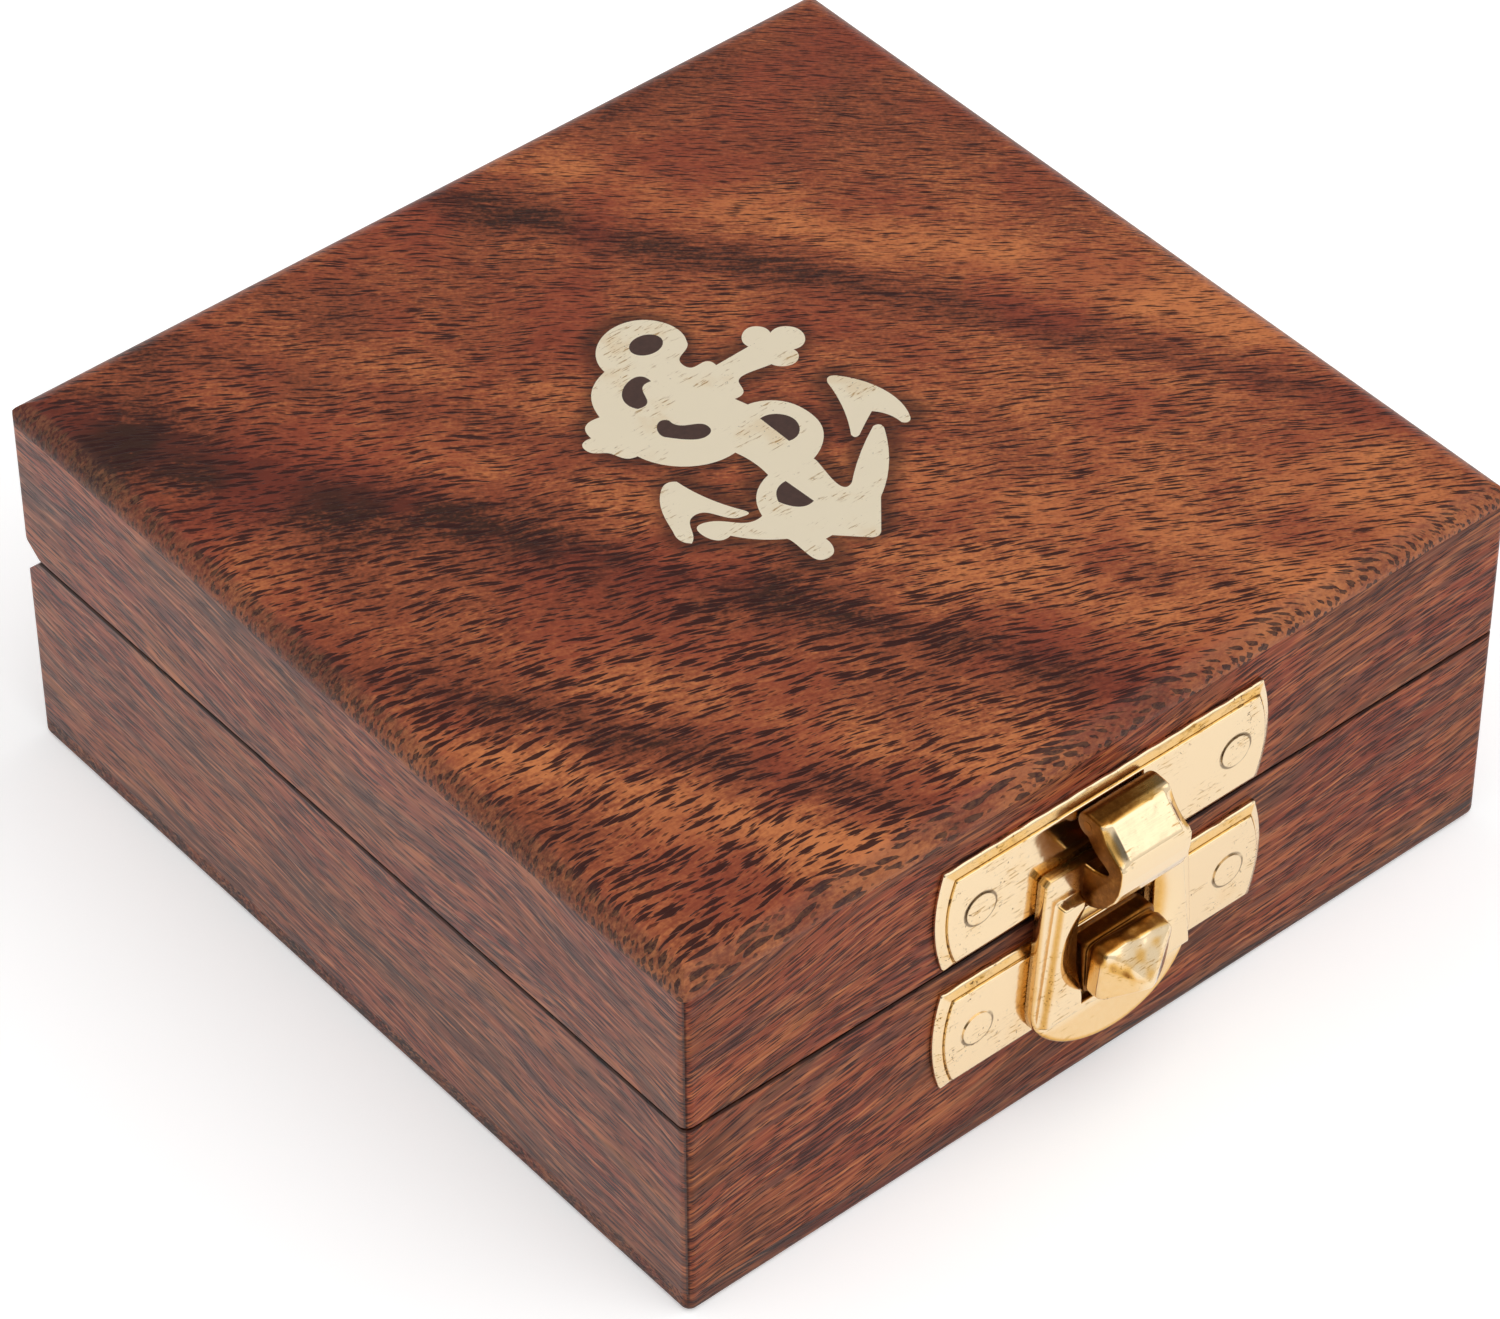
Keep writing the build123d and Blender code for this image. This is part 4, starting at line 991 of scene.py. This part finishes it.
def felt_mesh(name, low, high, nap, side):
    """Thin pad over a box: a grid in x and y whose outer face is uneven and rounded at its rim.

    The outer face stands at the box's height less a roll-off, nap times a sum of sines that
    fades at the rim, and the rim is closed down to a flat back. side is 1 where the outer
    face is the upper one and -1 where it is the lower one.
    """
    count = FELT_STEPS
    u = np.linspace(0, 1, count)
    x = low.x + (high.x - low.x) * u[:, None] + 0 * u[None, :]
    y = low.y + (high.y - low.y) * u[None, :] + 0 * u[:, None]
    thickness = high.z - low.z
    from_rim = np.minimum(
        np.minimum(x - low.x, high.x - x), np.minimum(y - low.y, high.y - y)
    )
    roll = np.clip(1 - from_rim / FELT_RIM, 0, 1) ** 2
    # Waves in radians per millimetre along x and y, and their phase
    ripples = ((0.31, 0.17, 0.4), (-0.22, 0.43, 2.1), (0.71, -0.55, 4.0), (1.3, 1.1, 1.0))
    waves = sum(np.sin(x / MM * a + y / MM * b + phase) for a, b, phase in ripples)
    rise = thickness * (1 - 0.55 * roll) - nap * (1 + waves / 4) * (1 - roll) * 0.5
    outer = (low.z + rise) if side > 0 else (high.z - rise)
    back = np.full_like(x, low.z if side > 0 else high.z)
    points = np.concatenate([
        np.stack([x, y, outer], -1).reshape(-1, 3), np.stack([x, y, back], -1).reshape(-1, 3),
    ])
    index = np.arange(count * count).reshape(count, count)
    front = np.stack([index[:-1, :-1], index[1:, :-1], index[1:, 1:], index[:-1, 1:]], -1)
    front = front.reshape(-1, 4)
    rear = front[:, ::-1] + count * count
    rim = np.concatenate([index[:, 0], index[-1, 1:], index[-2::-1, -1], index[0, -2:0:-1]])
    ahead = np.roll(rim, -1)
    walls = np.stack([rim, rim + count * count, ahead + count * count, ahead], -1)
    faces = np.concatenate([front, rear, walls])
    if side < 0:
        faces = faces[:, ::-1]
    mesh = bpy.data.meshes.new(name)
    mesh.from_pydata(points, [], faces)
    mesh.shade_smooth()
    mesh.validate()
    return mesh


class BOX_OT_walls(bpy.types.Operator):
    """Finish the eight mitred walls of the base and the lid in long-grained rosewood"""

    bl_idname = "box.walls"
    bl_label = "Walls"
    bl_options = {"REGISTER", "UNDO"}

    def execute(self, context):
        scene = context.scene
        for part, start in LOG_STARTS.items():
            for side, (along, seed, slope, gloss, grey) in WALLS.items():
                node = f"{part}_{side}_wall"
                material = wall_finish(
                    f"rosewood_{node}", along, start + seed, slope, gloss, grey, scene.box_wood
                )
                dress(node, material)
        return {"FINISHED"}


class BOX_OT_boards(bpy.types.Operator):
    """Finish the figured top board and the bottom board"""

    bl_idname = "box.boards"
    bl_label = "Boards"
    bl_options = {"REGISTER", "UNDO"}

    def execute(self, context):
        scene = context.scene
        dress("lid_top_board", top_finish(scene.box_wood))
        material = wall_finish(
            "rosewood_bottom_board", along="x", seed=BOTTOM_BOARD_START, slope=0.02, gloss=0.2,
            grey=1.0, wood=scene.box_wood,
        )
        dress("base_bottom_board", material)
        return {"FINISHED"}


class BOX_OT_anchor(bpy.types.Operator):
    """Finish the brass anchor and the dark filler in its holes"""

    bl_idname = "box.anchor"
    bl_label = "Anchor"
    bl_options = {"REGISTER", "UNDO"}

    def execute(self, context):
        scene = context.scene
        brass = scene.box_brass
        material = brass_finish(
            "ground_brass", brass.inlay, brass.inlay_roughness, brass, wear=0.9, metallic=0.5
        )
        for node in ANCHOR_NODES:
            dress(node, material)
        dress("inlay_filler", filler_finish(scene.box_wood))
        return {"FINISHED"}


class BOX_OT_latch(bpy.types.Operator):
    """Make the polished latch: plates, nails, knob, pin and hasp"""

    bl_idname = "box.latch"
    bl_label = "Latch"
    bl_options = {"REGISTER", "UNDO"}

    def execute(self, context):
        scene = context.scene
        brass = scene.box_brass
        material = brass_finish("cast_brass", brass.latch, brass.latch_roughness, brass, wear=0.8)
        lower, upper = "latch_lower_plate", "latch_upper_plate"
        for mesh, body, node in (
            (plate_mesh("lower_plate", *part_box(lower)), "base", lower),
            (plate_mesh("upper_plate", *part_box(upper)), "lid", upper),
            (lug_mesh("pin_lug"), "lid", upper),
            (knob_mesh("knob"), "base", "latch_knob"),
            (flange_mesh("hasp_flange"), "hasp", "latch_hasp"),
            (strap_mesh("hasp_strap"), "hasp", "latch_hasp"),
        ):
            shown_piece(mesh, body, node, material)
        for node in ("latch_lower_nails", "latch_upper_nails"):
            dress(node, material)
        pin = brass_finish("pin_brass", brass.tarnish, roughness=0.4, brass=brass, wear=1.0)
        dress("latch_pin", pin)
        return {"FINISHED"}


class BOX_OT_hinges(bpy.types.Operator):
    """Finish the two butt hinges at the back"""

    bl_idname = "box.hinges"
    bl_label = "Hinges"
    bl_options = {"REGISTER", "UNDO"}

    def execute(self, context):
        scene = context.scene
        brass = scene.box_brass
        material = brass_finish(
            "rolled_brass", brass.latch, roughness=0.28, brass=brass, wear=0.6
        )
        for node in HINGE_NODES:
            dress(node, material)
        return {"FINISHED"}


class BOX_OT_lining(bpy.types.Operator):
    """Make the felt linings of the base and the lid"""

    bl_idname = "box.lining"
    bl_label = "Felt lining"
    bl_options = {"REGISTER", "UNDO"}

    def execute(self, context):
        scene = context.scene
        felt = scene.box_felt
        material = felt_finish(felt)
        for part, side, rests_on in (
            ("base", 1, "base_bottom_board"), ("lid", -1, "lid_top_board"),
        ):
            node = f"{part}_felt_lining"
            low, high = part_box(node)
            mesh = felt_mesh(f"{part}_felt", low, high, felt.nap, side)
            piece = shown_piece(mesh, part, node, material)
        return {"FINISHED"}


class BOX_OT_stage(bpy.types.Operator):
    """Make the pale floor, the soft light and the camera"""

    bl_idname = "box.stage"
    bl_label = "Stage"
    bl_options = {"REGISTER", "UNDO"}

    def execute(self, context):
        scene = context.scene
        stage = scene.box_stage
        self.floor(scene, stage)
        self.light(scene, stage)
        self.camera(scene, stage)
        scene.view_settings.view_transform = "Standard"
        return {"FINISHED"}

    def floor(self, scene, stage):
        """Large pale floor that the camera and the metal see as white, with the box's shadow."""
        half = FLOOR_HALF
        z = CAD_LOW.z - FLOOR_GAP
        corners = [(-half, -half, z), (half, -half, z), (half, half, z), (-half, half, z)]
        mesh = bpy.data.meshes.new("floor")
        mesh.from_pydata(corners, [], [(0, 1, 2, 3)])
        floor = bpy.data.objects.new("floor", mesh)
        scene.collection.objects.link(floor)
        finish = Finish("pale_floor")
        seen = finish.node("ShaderNodeLightPath", output="Is Camera Ray")
        mirrored = finish.node("ShaderNodeLightPath", output="Is Glossy Ray")
        glow = seen * FLOOR_SEEN + mirrored * FLOOR_MIRRORED
        mesh.materials.append(finish.set(
            Base_Color=stage.floor, Roughness=0.9, Specular_IOR_Level=0.0,
            Emission_Color=(1, 1, 1), Emission_Strength=glow,
        ))

    def light(self, scene, stage):
        """Even sky, with darker and brighter parts, and a wide lamp above the box's right front."""
        world = bpy.data.worlds.new("studio")
        scene.world = world
        room = Tree(world)
        direction = room.node("ShaderNodeTexCoord", output="Generated")
        strength = stage.sky
        for middle, start, end, share in ROOM_PARTS:
            towards = room.vector("DOT_PRODUCT", direction, middle)
            strength = (towards.rise(start, end) * (share - 1) + 1) * strength
        seen = room.node("ShaderNodeLightPath", output="Is Camera Ray")
        strength = seen * (1 - strength) + strength
        light = room.node("ShaderNodeBackground", {}, {"Color": (1, 1, 1), "Strength": strength})
        room.node("ShaderNodeOutputWorld", {}, {"Surface": light})
        lamp = bpy.data.lights.new("wide_lamp", "SUN")
        lamp.energy = stage.lamp
        lamp.angle = math.radians(LAMP_WIDTH)
        holder = bpy.data.objects.new("wide_lamp", lamp)
        scene.collection.objects.link(holder)
        holder.rotation_euler = [math.radians(angle) for angle in LAMP_TILT]

    def camera(self, scene, stage):
        """Camera at an azimuth and elevation, looking past the middle of the box's foot."""
        a, e = stage.azimuth, stage.elevation
        back = Vector((math.sin(a) * math.cos(e), -math.cos(a) * math.cos(e), math.sin(e)))
        right = Vector((0, 0, 1)).cross(back).normalized()
        right = Matrix.Rotation(stage.roll, 3, back) @ right
        up = back.cross(right)
        camera = bpy.data.cameras.new("camera")
        camera.lens = stage.lens
        camera.sensor_width = FRAME_WIDTH
        camera.clip_start = 10 * MM
        holder = bpy.data.objects.new("camera", camera)
        scene.collection.objects.link(holder)
        place = right * stage.aim_right + up * stage.aim_up + back * stage.distance
        turn = Matrix((right, up, back)).transposed().to_4x4()
        holder.matrix_world = Matrix.Translation(place) @ turn
        scene.camera = holder


OPERATORS = (
    BOX_OT_walls, BOX_OT_boards, BOX_OT_anchor, BOX_OT_latch, BOX_OT_hinges, BOX_OT_lining,
    BOX_OT_stage,
)
SETTINGS = {
    "box_wood": BoxWood, "box_brass": BoxBrass, "box_felt": BoxFelt, "box_stage": BoxStage,
}


class BOX_PT_panel(bpy.types.Panel):
    """Sidebar panel with the sizes and the pieces of the box"""

    bl_idname = "BOX_PT_panel"
    bl_label = "Rosewood box"
    bl_space_type = "VIEW_3D"
    bl_region_type = "UI"
    bl_category = "Box"

    def draw(self, context):
        for name, group in SETTINGS.items():
            column = self.layout.column()
            column.label(text=name.removeprefix("box_").capitalize())
            for setting in group.__annotations__:
                column.prop(getattr(context.scene, name), setting)
        for operator in OPERATORS:
            self.layout.operator(operator.bl_idname)


CLASSES = (*SETTINGS.values(), *OPERATORS, BOX_PT_panel)


def register():
    """Registers the classes and puts the settings on the scene."""
    for cls in CLASSES:
        bpy.utils.register_class(cls)
    for name, group in SETTINGS.items():
        setattr(bpy.types.Scene, name, PointerProperty(type=group))


def unregister():
    """Takes the settings and the classes away again."""
    for name in SETTINGS:
        delattr(bpy.types.Scene, name)
    for cls in reversed(CLASSES):
        bpy.utils.unregister_class(cls)


def main():
    """Makes every piece in order."""
    register()
    bpy.ops.box.walls()
    bpy.ops.box.boards()
    bpy.ops.box.anchor()
    bpy.ops.box.latch()
    bpy.ops.box.hinges()
    bpy.ops.box.lining()
    bpy.ops.box.stage()


if __name__ == "__main__":
    main()
